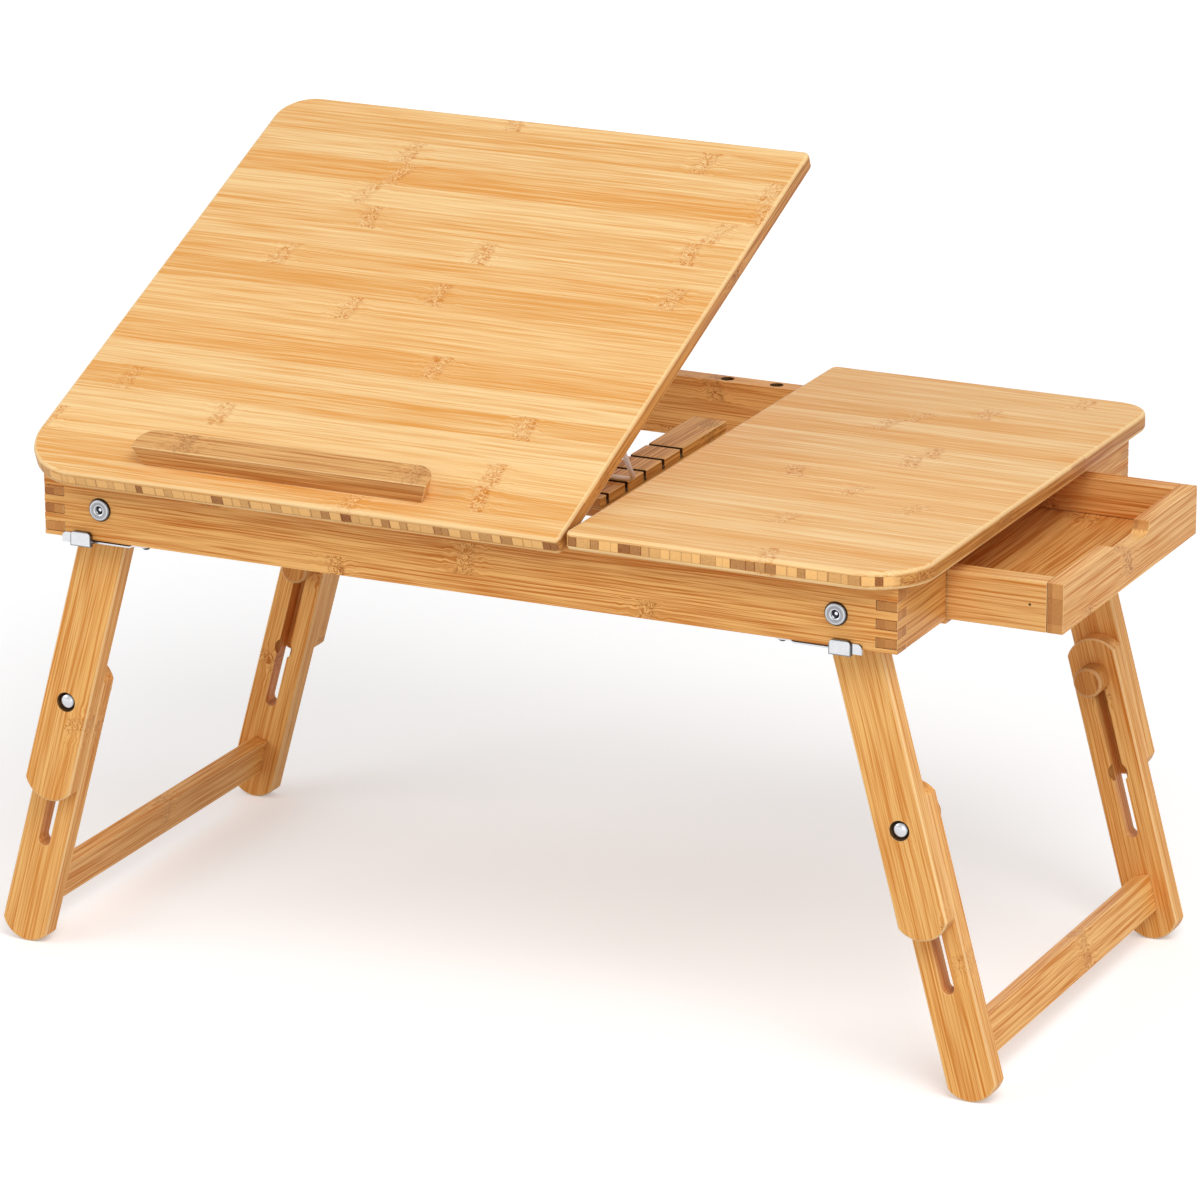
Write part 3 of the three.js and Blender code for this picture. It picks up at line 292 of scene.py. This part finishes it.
    height = sum_of(g, (fine, FINE_HEIGHT), (streaks, STREAKS_HEIGHT), (mark, MARK_HEIGHT),
                    (seam, SEAM_HEIGHT))
    out = g.node("NodeGroupOutput").inputs
    g.put(out["Tone"], blended(tone, end_tone))
    g.put(out["Mark"], blended(mark, 0.0))
    g.put(out["Pale"], blended(pale, 0.0))
    g.put(out["Warm"], fibre_chance)
    g.put(out["Height"], blended(height, times(ends, END_HEIGHT)))
    return tree


BAMBOO = bamboo_group()

# Palest wood, darkest wood, node marks, and palest and darkest end grain of each kind of piece
TONES = {
    "top": (linear(248, 212, 154), linear(228, 160, 78), linear(207, 124, 34), linear(232, 178, 106),
            linear(176, 108, 46)),
    # Like top, with darker end grain: painted shade on the tilt board's edges, which face away from the light
    "desk": (linear(248, 212, 154), linear(228, 160, 78), linear(207, 124, 34), linear(212, 150, 78),
             linear(152, 88, 32)),
    "rail": (linear(240, 184, 110), linear(196, 114, 36), linear(166, 94, 28), linear(214, 150, 82),
             linear(140, 74, 32)),
    # A darker copy of the rail's tones: painted shade on the right rail's front stub, under the board's
    # overhang beside the drawer; the knobs use the same tones
    "stub_shade_and_knob": (linear(222, 162, 90), linear(172, 96, 28), linear(146, 80, 24), linear(206, 144, 78),
             linear(136, 72, 30)),
    "side": (linear(242, 190, 120), linear(206, 128, 52), linear(172, 98, 34), linear(218, 158, 92),
             linear(150, 84, 36)),
    "leg": (linear(246, 192, 117), linear(211, 129, 45), linear(186, 106, 34), linear(230, 170, 100),
            linear(188, 118, 56)),
    "stop": (linear(227, 179, 116), linear(182, 117, 58), linear(158, 94, 40), linear(230, 176, 108),
             linear(192, 128, 62)),
    "dark": (linear(232, 180, 100), linear(176, 112, 44), linear(130, 76, 26), linear(200, 136, 74),
             linear(140, 82, 38)),
    "core": (linear(212, 156, 86), linear(164, 98, 40), linear(140, 78, 28), linear(252, 197, 124),
             linear(132, 64, 16)),
}
# Shares are how strongly a colour covers the one below it
WARM, WARM_SHARE = (1.0, 0.93, 0.82, 1.0), 0.8
ARRIS_HIGHLIGHT, ARRIS_HIGHLIGHT_SHARE = linear(255, 222, 166), 0.55  # painted highlight: rounded edges show paler
# Painted shade in holes, counterbores, cuts and round the pivot bolts; also the drawer pins' dark dots
SHADE_AND_PIN_DARK, SHADE_AND_PIN_SHARE = linear(34, 18, 8), 0.92
# Painted shade on a recess's floor; the dark joints between the plies
RECESS_SHADE_SHARE, PLY_JOINT_SHARE = 0.55, 0.4
END_SHOW = (0.62, 0.8)  # by how far a surface faces along the grain
ARRIS_SHOW, ARRIS_END_SHOW = (0.12, 0.4), (0.985, 0.88)  # painted highlight on arrises, by how far the surface faces through the piece
SOFT_OUTSIDE, SOFT_INSIDE = 0.3, 0.1  # millimetres over which a spot's rim fades
KERF_SOFT = (0.3, 0.05)
PLY_SOFT, PLY_JOINT_SHOW = 0.1, (0.3, 0.05)
FLOOR_SHOW = (0.5, 0.2)  # millimetres above a recess's floor, where its painted shade fades
RAGGED, RAGGED_FINENESS = 9.0, 0.11  # core strips' ends
CORE_SEED, CORE_CONTRAST, CORE_VARY, CORE_SEAM, CORE_BLOCK = 5.0, 1.1, 0.3, 0.4, 0.95
WOOD_BUMP, WOOD_BUMP_DEPTH = 0.16, 0.25 * MM
WOOD_TONE_ROUGHNESS = 0.12  # darker wood is rougher by this


class Grain:
    """Grain directions of a piece: which axis of its own frame runs along, across and through."""

    def __init__(self, along, across, through, turn=None):
        self.order = [("X", "Y", "Z").index(axis) for axis in (along, across, through)]
        self.turn = turn  # (axis, angle, centre) that brings the piece level

    def coordinates(self, g):
        """Grain coordinates in millimetres and how far the surface faces along the grain."""
        source = g.node("ShaderNodeTexCoord").outputs
        place, normal = source["Object"], source["Normal"]
        centre = APRON
        if self.turn:
            axis, angle, centre = self.turn
            for_place = g.node("ShaderNodeVectorRotate", rotation_type="AXIS_ANGLE")
            g.put(for_place.inputs["Vector"], place)
            for_place.inputs["Center"].default_value = centre
            for_place.inputs["Axis"].default_value = axis
            for_place.inputs["Angle"].default_value = angle
            for_normal = g.node("ShaderNodeVectorRotate", rotation_type="AXIS_ANGLE")
            g.put(for_normal.inputs["Vector"], normal)
            for_normal.inputs["Axis"].default_value = axis
            for_normal.inputs["Angle"].default_value = angle
            place, normal = for_place.outputs[0], for_normal.outputs[0]
        moved = g.node("ShaderNodeVectorMath", operation="SUBTRACT")
        g.put(moved.inputs[0], place)
        moved.inputs[1].default_value = centre
        scaled = g.node("ShaderNodeVectorMath", operation="SCALE")
        g.put(scaled.inputs[0], moved.outputs[0])
        scaled.inputs["Scale"].default_value = 1 / MM
        places, normals = g.split(scaled.outputs[0]), g.split(normal)
        return [places[axis] for axis in self.order], [normals[axis] for axis in self.order]


def lay_bamboo(g, places, facing, strip, spacing, seed, contrast, vary, seam=0.15, block=0.3, layer=0.5):
    """Outputs of the bamboo group at these grain coordinates, and how much of the surface is end grain."""
    group = g.node("ShaderNodeGroup", node_tree=BAMBOO)
    end = g.step(*END_SHOW, g.math("ABSOLUTE", facing))
    for name, value in (("Along", places[0]), ("Across", places[1]), ("Through", places[2]), ("End", end),
                        ("Strip", strip), ("Spacing", spacing), ("Seed", seed), ("Contrast", contrast),
                        ("Vary", vary), ("Seam", seam), ("Block", block), ("Layer", layer)):
        g.put(group.inputs[name], value)
    return group.outputs, end


def paint(g, made, end, tones):
    """Colour from a bamboo group's outputs."""
    pale, dark, mark, end_pale, end_dark = tones
    face = g.mix(made["Tone"], pale, dark)
    warmed = g.mix(1.0, face, WARM, blend="MULTIPLY")
    face = g.mix(g.math("MULTIPLY", made["Warm"], WARM_SHARE), face, warmed)
    face = g.mix(made["Mark"], face, mark)
    face = g.mix(made["Pale"], face, pale)
    return g.mix(end, face, g.mix(made["Tone"], end_pale, end_dark))


def inside_spots(g, places, spots):
    """1 within any of the spots (first axis, second axis, its place on each, radius), in grain axes."""
    mask = None
    for first, second, first_place, second_place, radius in spots:
        apart = g.node("ShaderNodeVectorMath", operation="DISTANCE")
        g.put(apart.inputs[0], g.vector(places[first], places[second], 0.0))
        apart.inputs[1].default_value = (first_place, second_place, 0.0)
        within = g.step(radius + SOFT_OUTSIDE, radius - SOFT_INSIDE, apart.outputs["Value"])
        mask = within if mask is None else g.math("MAXIMUM", mask, within)
    return mask


def inside_kerfs(g, along, last, pitch, width, count):
    """1 within a row of cuts of equal pitch whose last one is centred at last."""
    turns = g.math("DIVIDE", g.math("SUBTRACT", along, last), pitch)
    nearest = g.math("MINIMUM", g.math("MAXIMUM", g.math("ROUND", turns), 1.0 - count), 0.0)
    apart = g.math("MULTIPLY", g.math("ABSOLUTE", g.math("SUBTRACT", turns, nearest)), pitch)
    return g.step(width / 2 + KERF_SOFT[0], width / 2 + KERF_SOFT[1], apart)


def bamboo_material(name, grain, kind, strip, seed, spacing=240.0, contrast=1.0, vary=0.3, plies=None,
                    roughness=0.42, spots=(), kerfs=None, highlight=ARRIS_HIGHLIGHT_SHARE, recess=None):
    """Lacquered bamboo. plies is (underside, core from, core to, core strip) in millimetres for a board.

    Spots and kerfs are painted dark: painted shade on hole walls, in a bolt's counterbore and in the cuts
    across a notched bar, a painted shadow line round a bolt, and the drawer pins' dark dots.
    The highlight share says how strongly a painted highlight pales the arrises. Recess is (spot, how far its
    floor is from the middle plane); its floor gets painted shade.
    """
    material = bpy.data.materials.new(name)
    material.use_nodes = True
    g = Graph(material.node_tree)
    shader = material.node_tree.nodes["Principled BSDF"]
    places, normals = grain.coordinates(g)
    made, end = lay_bamboo(g, places, normals[0], strip, spacing, seed, contrast, vary)
    colour, height = paint(g, made, end, TONES[kind]), made["Height"]
    if plies:
        underside, low, high, core_strip = plies
        worn = g.noise(g.vector(g.math("MULTIPLY", places[0], RAGGED_FINENESS), 0.0, 0.0), detail=0.0)
        ragged = g.math("ADD", places[0], g.math("MULTIPLY", worn, RAGGED))
        core_places = [places[1], ragged, places[2]]
        core, core_end = lay_bamboo(g, core_places, normals[1], core_strip, spacing, seed + CORE_SEED,
                                    CORE_CONTRAST, CORE_VARY, seam=CORE_SEAM, block=CORE_BLOCK, layer=0.0)
        core_colour = paint(g, core, core_end, TONES["core"])
        level = g.math("SUBTRACT", places[2], underside)
        inside = g.math("MULTIPLY", g.step(low - PLY_SOFT, low + PLY_SOFT, level),
                        g.step(high + PLY_SOFT, high - PLY_SOFT, level))
        joint = g.math("ADD", *(g.step(*PLY_JOINT_SHOW, g.math("ABSOLUTE", g.math("SUBTRACT", level, at)))
                                for at in (low, high)))
        colour = g.mix(inside, colour, core_colour)
        colour = g.mix(g.math("MULTIPLY", joint, PLY_JOINT_SHARE), colour, TONES["core"][2])
    # Painted highlight: the arrises, where the surface turns away from facing through the piece, are made
    # paler
    broad = g.math("ABSOLUTE", normals[2])
    arris_highlight = g.math("MULTIPLY", g.step(*ARRIS_SHOW, broad), g.step(*ARRIS_END_SHOW, broad))
    colour = g.mix(g.math("MULTIPLY", arris_highlight, highlight), colour, ARRIS_HIGHLIGHT)
    # Painted shade in holes, counterbores and round bolts, and the drawer pins' dark dots
    if spots:
        colour = g.mix(g.math("MULTIPLY", inside_spots(g, places, spots), SHADE_AND_PIN_SHARE), colour, SHADE_AND_PIN_DARK)
    # Painted shade on the recess's floor
    if recess:
        spot, floor = recess
        recess_shade = g.math("MULTIPLY", inside_spots(g, places, (spot,)),
                      g.step(floor + FLOOR_SHOW[0], floor + FLOOR_SHOW[1], g.math("ABSOLUTE", places[2])))
        colour = g.mix(g.math("MULTIPLY", recess_shade, RECESS_SHADE_SHARE), colour, TONES["core"][2])
    # Painted shade in the cuts across a notched bar
    if kerfs:
        colour = g.mix(g.math("MULTIPLY", inside_kerfs(g, places[0], *kerfs), SHADE_AND_PIN_SHARE), colour, SHADE_AND_PIN_DARK)
    g.put(shader.inputs["Base Color"], colour)
    bump = g.node("ShaderNodeBump")
    bump.inputs["Strength"].default_value = WOOD_BUMP
    bump.inputs["Distance"].default_value = WOOD_BUMP_DEPTH
    g.put(bump.inputs["Height"], height)
    g.put(shader.inputs["Normal"], bump.outputs[0])
    g.put(shader.inputs["Roughness"],
          g.math("ADD", roughness, g.math("MULTIPLY", made["Tone"], WOOD_TONE_ROUGHNESS)))
    shader.inputs["Specular IOR Level"].default_value = 0.2
    shader.inputs["Coat Weight"].default_value = 0.03
    shader.inputs["Coat Roughness"].default_value = 0.22
    return material


STEEL_VARY = 9  # levels of grey to either side
# Painted shade darkens the steel's rounded arrises
STEEL_ARRIS_SHADE, STEEL_ARRIS_SHOW = grey(70), (0.985, 0.9)
# Painted dark outlines of shade along the catches' tabs
OUTLINE_SHADE, OUTLINE_SHARE, OUTLINE_SHOW = grey(72), 0.75, (0.75 * MM, 0.35 * MM)
RING_SOFT = 0.15  # millimetres
STEEL_BUMP, STEEL_BUMP_DEPTH, STEEL_ROUGHNESS_VARY = 0.06, 0.03 * MM, 0.14


def steel_material(name, roughness, base, metallic=1.0, painted_rings=(), centres=(), arris_shade=0.0, lines=()):
    """Bright plated steel with fine brushing, with painted shade darkening its rounded arrises by the given
    share.

    Rings are pairs of the radius, in millimetres, from which a grey covers the bolt's head, and that grey:
    painted highlights and shade on the head.
    Centres are points on the bolts' axes. Lines are (axis number, place in metres) of dark outlines of
    painted shade.
    """
    material = bpy.data.materials.new(name)
    material.use_nodes = True
    g = Graph(material.node_tree)
    shader = material.node_tree.nodes["Principled BSDF"]
    source = g.node("ShaderNodeTexCoord").outputs
    place, normal = source["Object"], g.split(source["Normal"])
    scaled = g.node("ShaderNodeVectorMath", operation="SCALE")
    g.put(scaled.inputs[0], place)
    scaled.inputs["Scale"].default_value = 1 / MM
    fine = g.noise(scaled.outputs[0], detail=3.0, roughness=0.6)
    wide = g.noise(scaled.outputs[0], detail=2.0, scale=0.3)
    colour = g.mix(wide, grey(base - STEEL_VARY), grey(base + STEEL_VARY))
    # Painted shade: the rounded arrises are darkened
    straight = g.math("MAXIMUM", g.math("ABSOLUTE", normal[0]),
                      g.math("MAXIMUM", g.math("ABSOLUTE", normal[1]), g.math("ABSOLUTE", normal[2])))
    rounded = g.step(*STEEL_ARRIS_SHOW, straight)
    colour = g.mix(g.math("MULTIPLY", rounded, arris_shade), colour, STEEL_ARRIS_SHADE)
    # Painted dark outlines of shade at the given places
    outline = None
    for axis, at in lines:
        along = g.split(place)[axis]
        near = g.step(*OUTLINE_SHOW, g.math("ABSOLUTE", g.math("SUBTRACT", along, at)))
        outline = near if outline is None else g.math("MAXIMUM", outline, near)
    if lines:
        colour = g.mix(g.math("MULTIPLY", outline, OUTLINE_SHARE), colour, OUTLINE_SHADE)
    # Painted highlights and shade in rings round each bolt's axis
    if centres:
        apart = None
        for centre in centres:
            flat = g.node("ShaderNodeVectorMath", operation="MULTIPLY")
            g.put(flat.inputs[0], place)
            flat.inputs[1].default_value = (1, 0, 1)
            gap = g.node("ShaderNodeVectorMath", operation="DISTANCE")
            g.put(gap.inputs[0], flat.outputs[0])
            gap.inputs[1].default_value = (centre.x, 0, centre.z)
            apart = gap.outputs["Value"] if apart is None else g.math("MINIMUM", apart, gap.outputs["Value"])
        apart = g.math("MULTIPLY", apart, 1 / MM)
        for radius, tone in painted_rings:
            colour = g.mix(g.step(radius - RING_SOFT, radius + RING_SOFT, apart), colour, grey(tone))
    g.put(shader.inputs["Base Color"], colour)
    shader.inputs["Metallic"].default_value = metallic
    varied = g.math("MULTIPLY", g.math("SUBTRACT", fine, 0.5), STEEL_ROUGHNESS_VARY)
    g.put(shader.inputs["Roughness"], g.math("ADD", roughness, varied))
    bump = g.node("ShaderNodeBump")
    bump.inputs["Strength"].default_value = STEEL_BUMP
    bump.inputs["Distance"].default_value = STEEL_BUMP_DEPTH
    g.put(bump.inputs["Height"], fine)
    g.put(shader.inputs["Normal"], bump.outputs[0])
    return material


# Grain frames
LEVEL = {
    "x": Grain("X", "Z", "Y"),
    "x_flat": Grain("X", "Y", "Z"),
    "y": Grain("Y", "Z", "X"),
    "y_flat": Grain("Y", "X", "Z"),
}
DESK = ((1, 0, 0), -TILT, HINGE)
DESK_FLAT = Grain("X", "Y", "Z", DESK)
DESK_RAIL = Grain("X", "Z", "Y", DESK)
LEGS = {
    "left": Grain("Z", "X", "Y", ((0, 1, 0), -SPLAY, LEG_PIVOTS["left"])),
    "right": Grain("Z", "X", "Y", ((0, 1, 0), SPLAY, LEG_PIVOTS["right"])),
}
STRETCHERS = {
    "left": Grain("Y", "Z", "X", ((0, 1, 0), -SPLAY, LEG_PIVOTS["left"])),
    "right": Grain("Y", "Z", "X", ((0, 1, 0), SPLAY, LEG_PIVOTS["right"])),
}

# Measures in millimetres. Places are counted from the apron's corner, and reaches from a leg's pivot
CORE = (2.6, 7.9)
TOP_STRIP, CORE_STRIP, RAIL_STRIP, DRAWER_STRIP, BAR_STRIP = 21.5, 6.2, 18.5, 14.3, 11.0
LEG_STRIP, KNOB_STRIP, STRETCHER_STRIP, STOP_STRIP = 15.0, 60.0, 22.0, 30.0
DESK_LOW = 0.15  # underside of the tilt board above its hinge
PIVOT_PLACES, PIVOT_LEVEL, PIVOT_SHADE_RADIUS = (36.0, 490.0), 18.5, 6.8
TOP_HOLES, TOP_HOLE_BACK, TOP_HOLE_RADIUS = (273.0, 305.0), 339.75, 4.0
CLAMP_REACH, CLAMP_HOLE_RADIUS = 128.0, 5.8
RECESS_REACH, RECESS_RADIUS, RECESS_FLOOR = 187.0, 6.0, 137.7  # floor from the middle of the table
CATCH_LINES_X, CATCH_LINES_Z = (18.0, 31.0, 487.0, 500.0), (4.8, -3.8)  # painted shade lines along the sides, top and foot of the tabs
NOTCHES = (212.96, 25.0, 3.4, 5)  # middle of the last notch, pitch, width, count
DRAWER_PIN, PIN_RADIUS = (574.5, 14.9), 0.7
# Radius and grey of each ring on a bolt's head, from the middle outwards: painted highlights and painted
# shade in the socket, on the rings and at the rim
PIVOT_PAINTED_RINGS = ((0.0, 232), (0.9, 44), (2.6, 206), (3.2, 148), (4.9, 186), (5.8, 104))
CLAMP_PAINTED_RINGS = ((0.0, 204), (3.7, 160), (4.5, 88))

# Metres and radians
WOOD_EASE, KNOB_EASE, CATCH_EASE, BAR_EASE, STOP_EASE = 0.35 * MM, 0.4 * MM, 0.45 * MM, 0.7 * MM, 0.7 * MM
WELD_GAP, FLAT_ANGLE, SMOOTH_ANGLE = 0.005 * MM, math.radians(0.5), math.radians(32)


def dress(node, material, ease=0.0):
    """Gives a CAD node its material, eased edges and smooth rounds."""
    obj = frame["nodes"][node]
    obj.data.materials.clear()
    obj.data.materials.append(material)
    obj.data.polygons.foreach_set("use_smooth", [True] * len(obj.data.polygons))
    weld = obj.modifiers.new("weld", "WELD")
    weld.merge_threshold = WELD_GAP
    if ease:
        flat = obj.modifiers.new("flat", "DECIMATE")
        flat.decimate_type = "DISSOLVE"
        flat.angle_limit = FLAT_ANGLE
        eased = obj.modifiers.new("eased", "BEVEL")
        eased.width = ease
        eased.segments = 2
        eased.limit_method = "ANGLE"
        eased.angle_limit = SMOOTH_ANGLE
        eased.harden_normals = False
    level = obj.modifiers.new("level", "WEIGHTED_NORMAL")
    level.keep_sharp = True


def dress_boards():
    fixed_low = (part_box("fixed_top")[0].z - APRON.z) / MM
    for node, grain, kind, low, seed in (("fixed_top", LEVEL["x_flat"], "top", fixed_low, 2.0),
                                         ("tilt_board", DESK_FLAT, "desk", DESK_LOW, 9.0)):
        dress(node, bamboo_material(f"bamboo_{node}", grain, kind, TOP_STRIP, seed, contrast=0.72, vary=0.6,
                                    plies=(low, *CORE, CORE_STRIP)))
    dress("drawer_floor", bamboo_material("bamboo_drawer_floor", LEVEL["y_flat"], "rail", TOP_STRIP, 41.0))
    dress("book_stop", bamboo_material("bamboo_book_stop", DESK_RAIL, "stop", STOP_STRIP, 4.0,
                                       spacing=150.0, contrast=0.9, roughness=0.36), STOP_EASE)


def dress_apron():
    # Painted shadow rings round the pivot bolts, and painted shade in the holes in the back rail's top
    bolt_shadow_rings = tuple((0, 1, x, PIVOT_LEVEL, PIVOT_SHADE_RADIUS) for x in PIVOT_PLACES)
    top_hole_shade = tuple((0, 2, x, TOP_HOLE_BACK, TOP_HOLE_RADIUS) for x in TOP_HOLES)
    dress("front_rail", bamboo_material("bamboo_front_rail", LEVEL["x"], "rail", RAIL_STRIP, 11.0,
                                        spots=bolt_shadow_rings), WOOD_EASE)
    dress("back_rail", bamboo_material("bamboo_back_rail", LEVEL["x"], "rail", RAIL_STRIP, 12.0,
                                       spots=bolt_shadow_rings + top_hole_shade), WOOD_EASE)
    # The right rail's front stub takes the darker tones of painted shade
    for seed, (node, kind) in enumerate((("left_rail", "rail"), ("right_rail_front", "stub_shade_and_knob"),
                                         ("right_rail_back", "rail"), ("bay_wall", "rail"))):
        dress(node, bamboo_material(f"bamboo_{node}", LEVEL["y"], kind, RAIL_STRIP, 21.0 + seed), WOOD_EASE)
    for seed, side in enumerate(("left", "right")):
        for node, kerfs in ((f"notched_bar_{side}", NOTCHES), (f"bar_ledge_{side}", None)):
            dress(node, bamboo_material(f"bamboo_{node}", LEVEL["y_flat"], "dark", BAR_STRIP,
                                        43.0 + seed, kerfs=kerfs), BAR_EASE)


def dress_drawer():
    for seed, node in enumerate(("drawer_front", "drawer_back")):
        dress(node, bamboo_material(f"bamboo_{node}", LEVEL["y"], "side", DRAWER_STRIP, 31.0 + seed),
              WOOD_EASE)
    for seed, node in enumerate(("drawer_side_front", "drawer_side_back", "drawer_guide_front",
                                 "drawer_guide_back")):
        # A dark dot at each pin on a drawer side
        spots = ((0, 1, *DRAWER_PIN, PIN_RADIUS),) if "side" in node else ()
        dress(node, bamboo_material(f"bamboo_{node}", LEVEL["x"], "side", DRAWER_STRIP, 33.0 + seed,
                                    spots=spots), WOOD_EASE)


def dress_legs():
    for seed, side in enumerate(("left", "right")):
        for end_seed, end in enumerate(("front", "back")):
            for kind_seed, kind in enumerate(("upper_leg", "lower_leg")):
                node = f"{side}_{kind}_{end}"
                number = 51.0 + seed * 8 + end_seed * 3 + kind_seed
                upper = kind == "upper_leg"
                # Painted shade in the counterbore round an upper leg's clamp bolt
                spots = ((0, 1, -CLAMP_REACH, 0.0, CLAMP_HOLE_RADIUS),) if upper else ()
                # Painted shade on the floor of a lower leg's recess
                recess = None if upper else ((0, 1, -RECESS_REACH, 0.0, RECESS_RADIUS), RECESS_FLOOR)
                dress(node, bamboo_material(f"bamboo_{node}", LEGS[side], "leg", LEG_STRIP, number,
                                            spacing=260.0, contrast=0.85, vary=0.12, spots=spots,
                                            recess=recess), WOOD_EASE)
            # Knobs share the darker tones made for the stub's painted shade
            node = f"{side}_knob_{end}"
            # The knobs' arrises get a weaker painted highlight
            dress(node, bamboo_material(f"bamboo_{node}", LEGS[side], "stub_shade_and_knob", KNOB_STRIP, 61.0 + end_seed,
                                        spacing=900.0, contrast=0.5, highlight=0.3), KNOB_EASE)
        dress(f"{side}_stretcher", bamboo_material(f"bamboo_{side}_stretcher", STRETCHERS[side], "leg",
                                                   STRETCHER_STRIP, 71.0 + seed, vary=0.15), WOOD_EASE)


def dress_steel():
    pivots = list(LEG_PIVOTS.values())
    clamps = [Vector(joints[f"{side}_knob_front_turn"]["pos_m"]) for side in ("left", "right")]
    pivot_bolts = steel_material("bright_pivot_bolts", 0.24, 200, centres=pivots, painted_rings=PIVOT_PAINTED_RINGS)
    clamp_bolts = steel_material("bright_clamp_bolts", 0.2, 204, centres=clamps, painted_rings=CLAMP_PAINTED_RINGS)
    sheet = steel_material("bright_sheet", 0.3, 190, arris_shade=0.95)
    catches = steel_material("bright_catches", 0.26, 206, arris_shade=0.95, lines=(
        [(0, APRON.x + place * MM) for place in CATCH_LINES_X]
        + [(2, APRON.z + place * MM) for place in CATCH_LINES_Z]))
    wire = steel_material("bright_wire", 0.3, 250, metallic=0.0)
    for node in frame["nodes"]:
        if "pivot_bolt" in node:
            dress(node, pivot_bolts)
        elif "clamp_bolt" in node:
            dress(node, clamp_bolts)
        elif "catch" in node and "screw" not in node:
            dress(node, catches, CATCH_EASE)
        elif any(word in node for word in ("hinge", "clip", "screw")):
            dress(node, sheet)
    dress("prop_wire", wire)


FLOOR_REACH, FLOOR_DROP = 40.0, 0.05 * MM
FLOOR_LIFT, FAR_LIFT = 0.3, 0.35  # glow that keeps the floor white for the camera, more far from the table
FAR_SHOW = (0.5, 2.2)  # by distance from the middle, in metres
LIT_FLOOR, SEEN_FLOOR = (0.7, 0.7, 0.7, 1), (0.9, 0.9, 0.9, 1)
LIT_STUDIO, SEEN_STUDIO = (0.5, 0.5, 0.505, 1), (1, 1, 1, 1)
# Name, place, aim, size and power of each lamp
LAMPS = (
    ("key", (1.3, -1.5, 2.5), (0.0, 0.0, 0.25), 1.6, 40.0),
    ("left", (-2.0, -1.6, 1.4), (0.0, 0.0, 0.25), 1.8, 16.0),
    ("right", (2.4, -0.2, 1.3), (0.0, 0.0, 0.2), 1.8, 9.0),
    ("front", (0.5, -2.6, 0.35), (0.0, 0.0, 0.15), 1.2, 3.6),
)


def whole_view(g):
    """1 for rays that show the studio itself: straight from the camera, or mirrored in metal and glass."""
    rays = g.node("ShaderNodeLightPath").outputs
    return g.math("MAXIMUM", rays["Is Camera Ray"],
                  g.math("MAXIMUM", rays["Is Glossy Ray"], rays["Is Transmission Ray"]))


def add_stage():
    floor = bpy.data.meshes.new("floor")
    reach = FLOOR_REACH
    floor.from_pydata([(-reach, -reach, 0), (reach, -reach, 0), (reach, reach, 0), (-reach, reach, 0)], [],
                      [(0, 1, 2, 3)])
    obj = bpy.data.objects.new("floor", floor)
    obj.location.z = -FLOOR_DROP
    bpy.context.scene.collection.objects.link(obj)
    material = bpy.data.materials.new("floor")
    material.use_nodes = True
    g = Graph(material.node_tree)
    shader = material.node_tree.nodes["Principled BSDF"]
    seen = whole_view(g)
    shader.inputs["Roughness"].default_value = 0.9
    shader.inputs["Specular IOR Level"].default_value = 0.1
    shader.inputs["Emission Color"].default_value = (1, 1, 1, 1)
    g.put(shader.inputs["Base Color"], g.mix(seen, LIT_FLOOR, SEEN_FLOOR))
    place = g.split(g.node("ShaderNodeNewGeometry").outputs["Position"])
    away = g.math("SQRT", g.math("ADD", g.math("POWER", place[0], 2.0), g.math("POWER", place[1], 2.0)))
    lift = g.math("ADD", FLOOR_LIFT, g.math("MULTIPLY", g.step(*FAR_SHOW, away), FAR_LIFT))
    g.put(shader.inputs["Emission Strength"], g.math("MULTIPLY", seen, lift))
    floor.materials.append(material)


def add_light():
    world = bpy.data.worlds.new("studio")
    bpy.context.scene.world = world
    world.use_nodes = True
    g = Graph(world.node_tree)
    for node in list(world.node_tree.nodes):
        world.node_tree.nodes.remove(node)
    background = g.node("ShaderNodeBackground")
    g.put(background.inputs["Color"], g.mix(whole_view(g), LIT_STUDIO, SEEN_STUDIO))
    g.put(g.node("ShaderNodeOutputWorld").inputs["Surface"], background.outputs[0])

    for name, place, aim, size, power in LAMPS:
        data = bpy.data.lights.new(name, "AREA")
        data.shape = "SQUARE"
        data.size = size
        data.energy = power
        light = bpy.data.objects.new(name, data)
        light.location = place
        light.rotation_euler = (Vector(aim) - Vector(place)).to_track_quat("-Z", "Y").to_euler()
        bpy.context.scene.collection.objects.link(light)


add_camera()
add_light()
add_stage()
dress_boards()
dress_apron()
dress_drawer()
dress_legs()
dress_steel()

bpy.context.scene.view_settings.view_transform = "Standard"
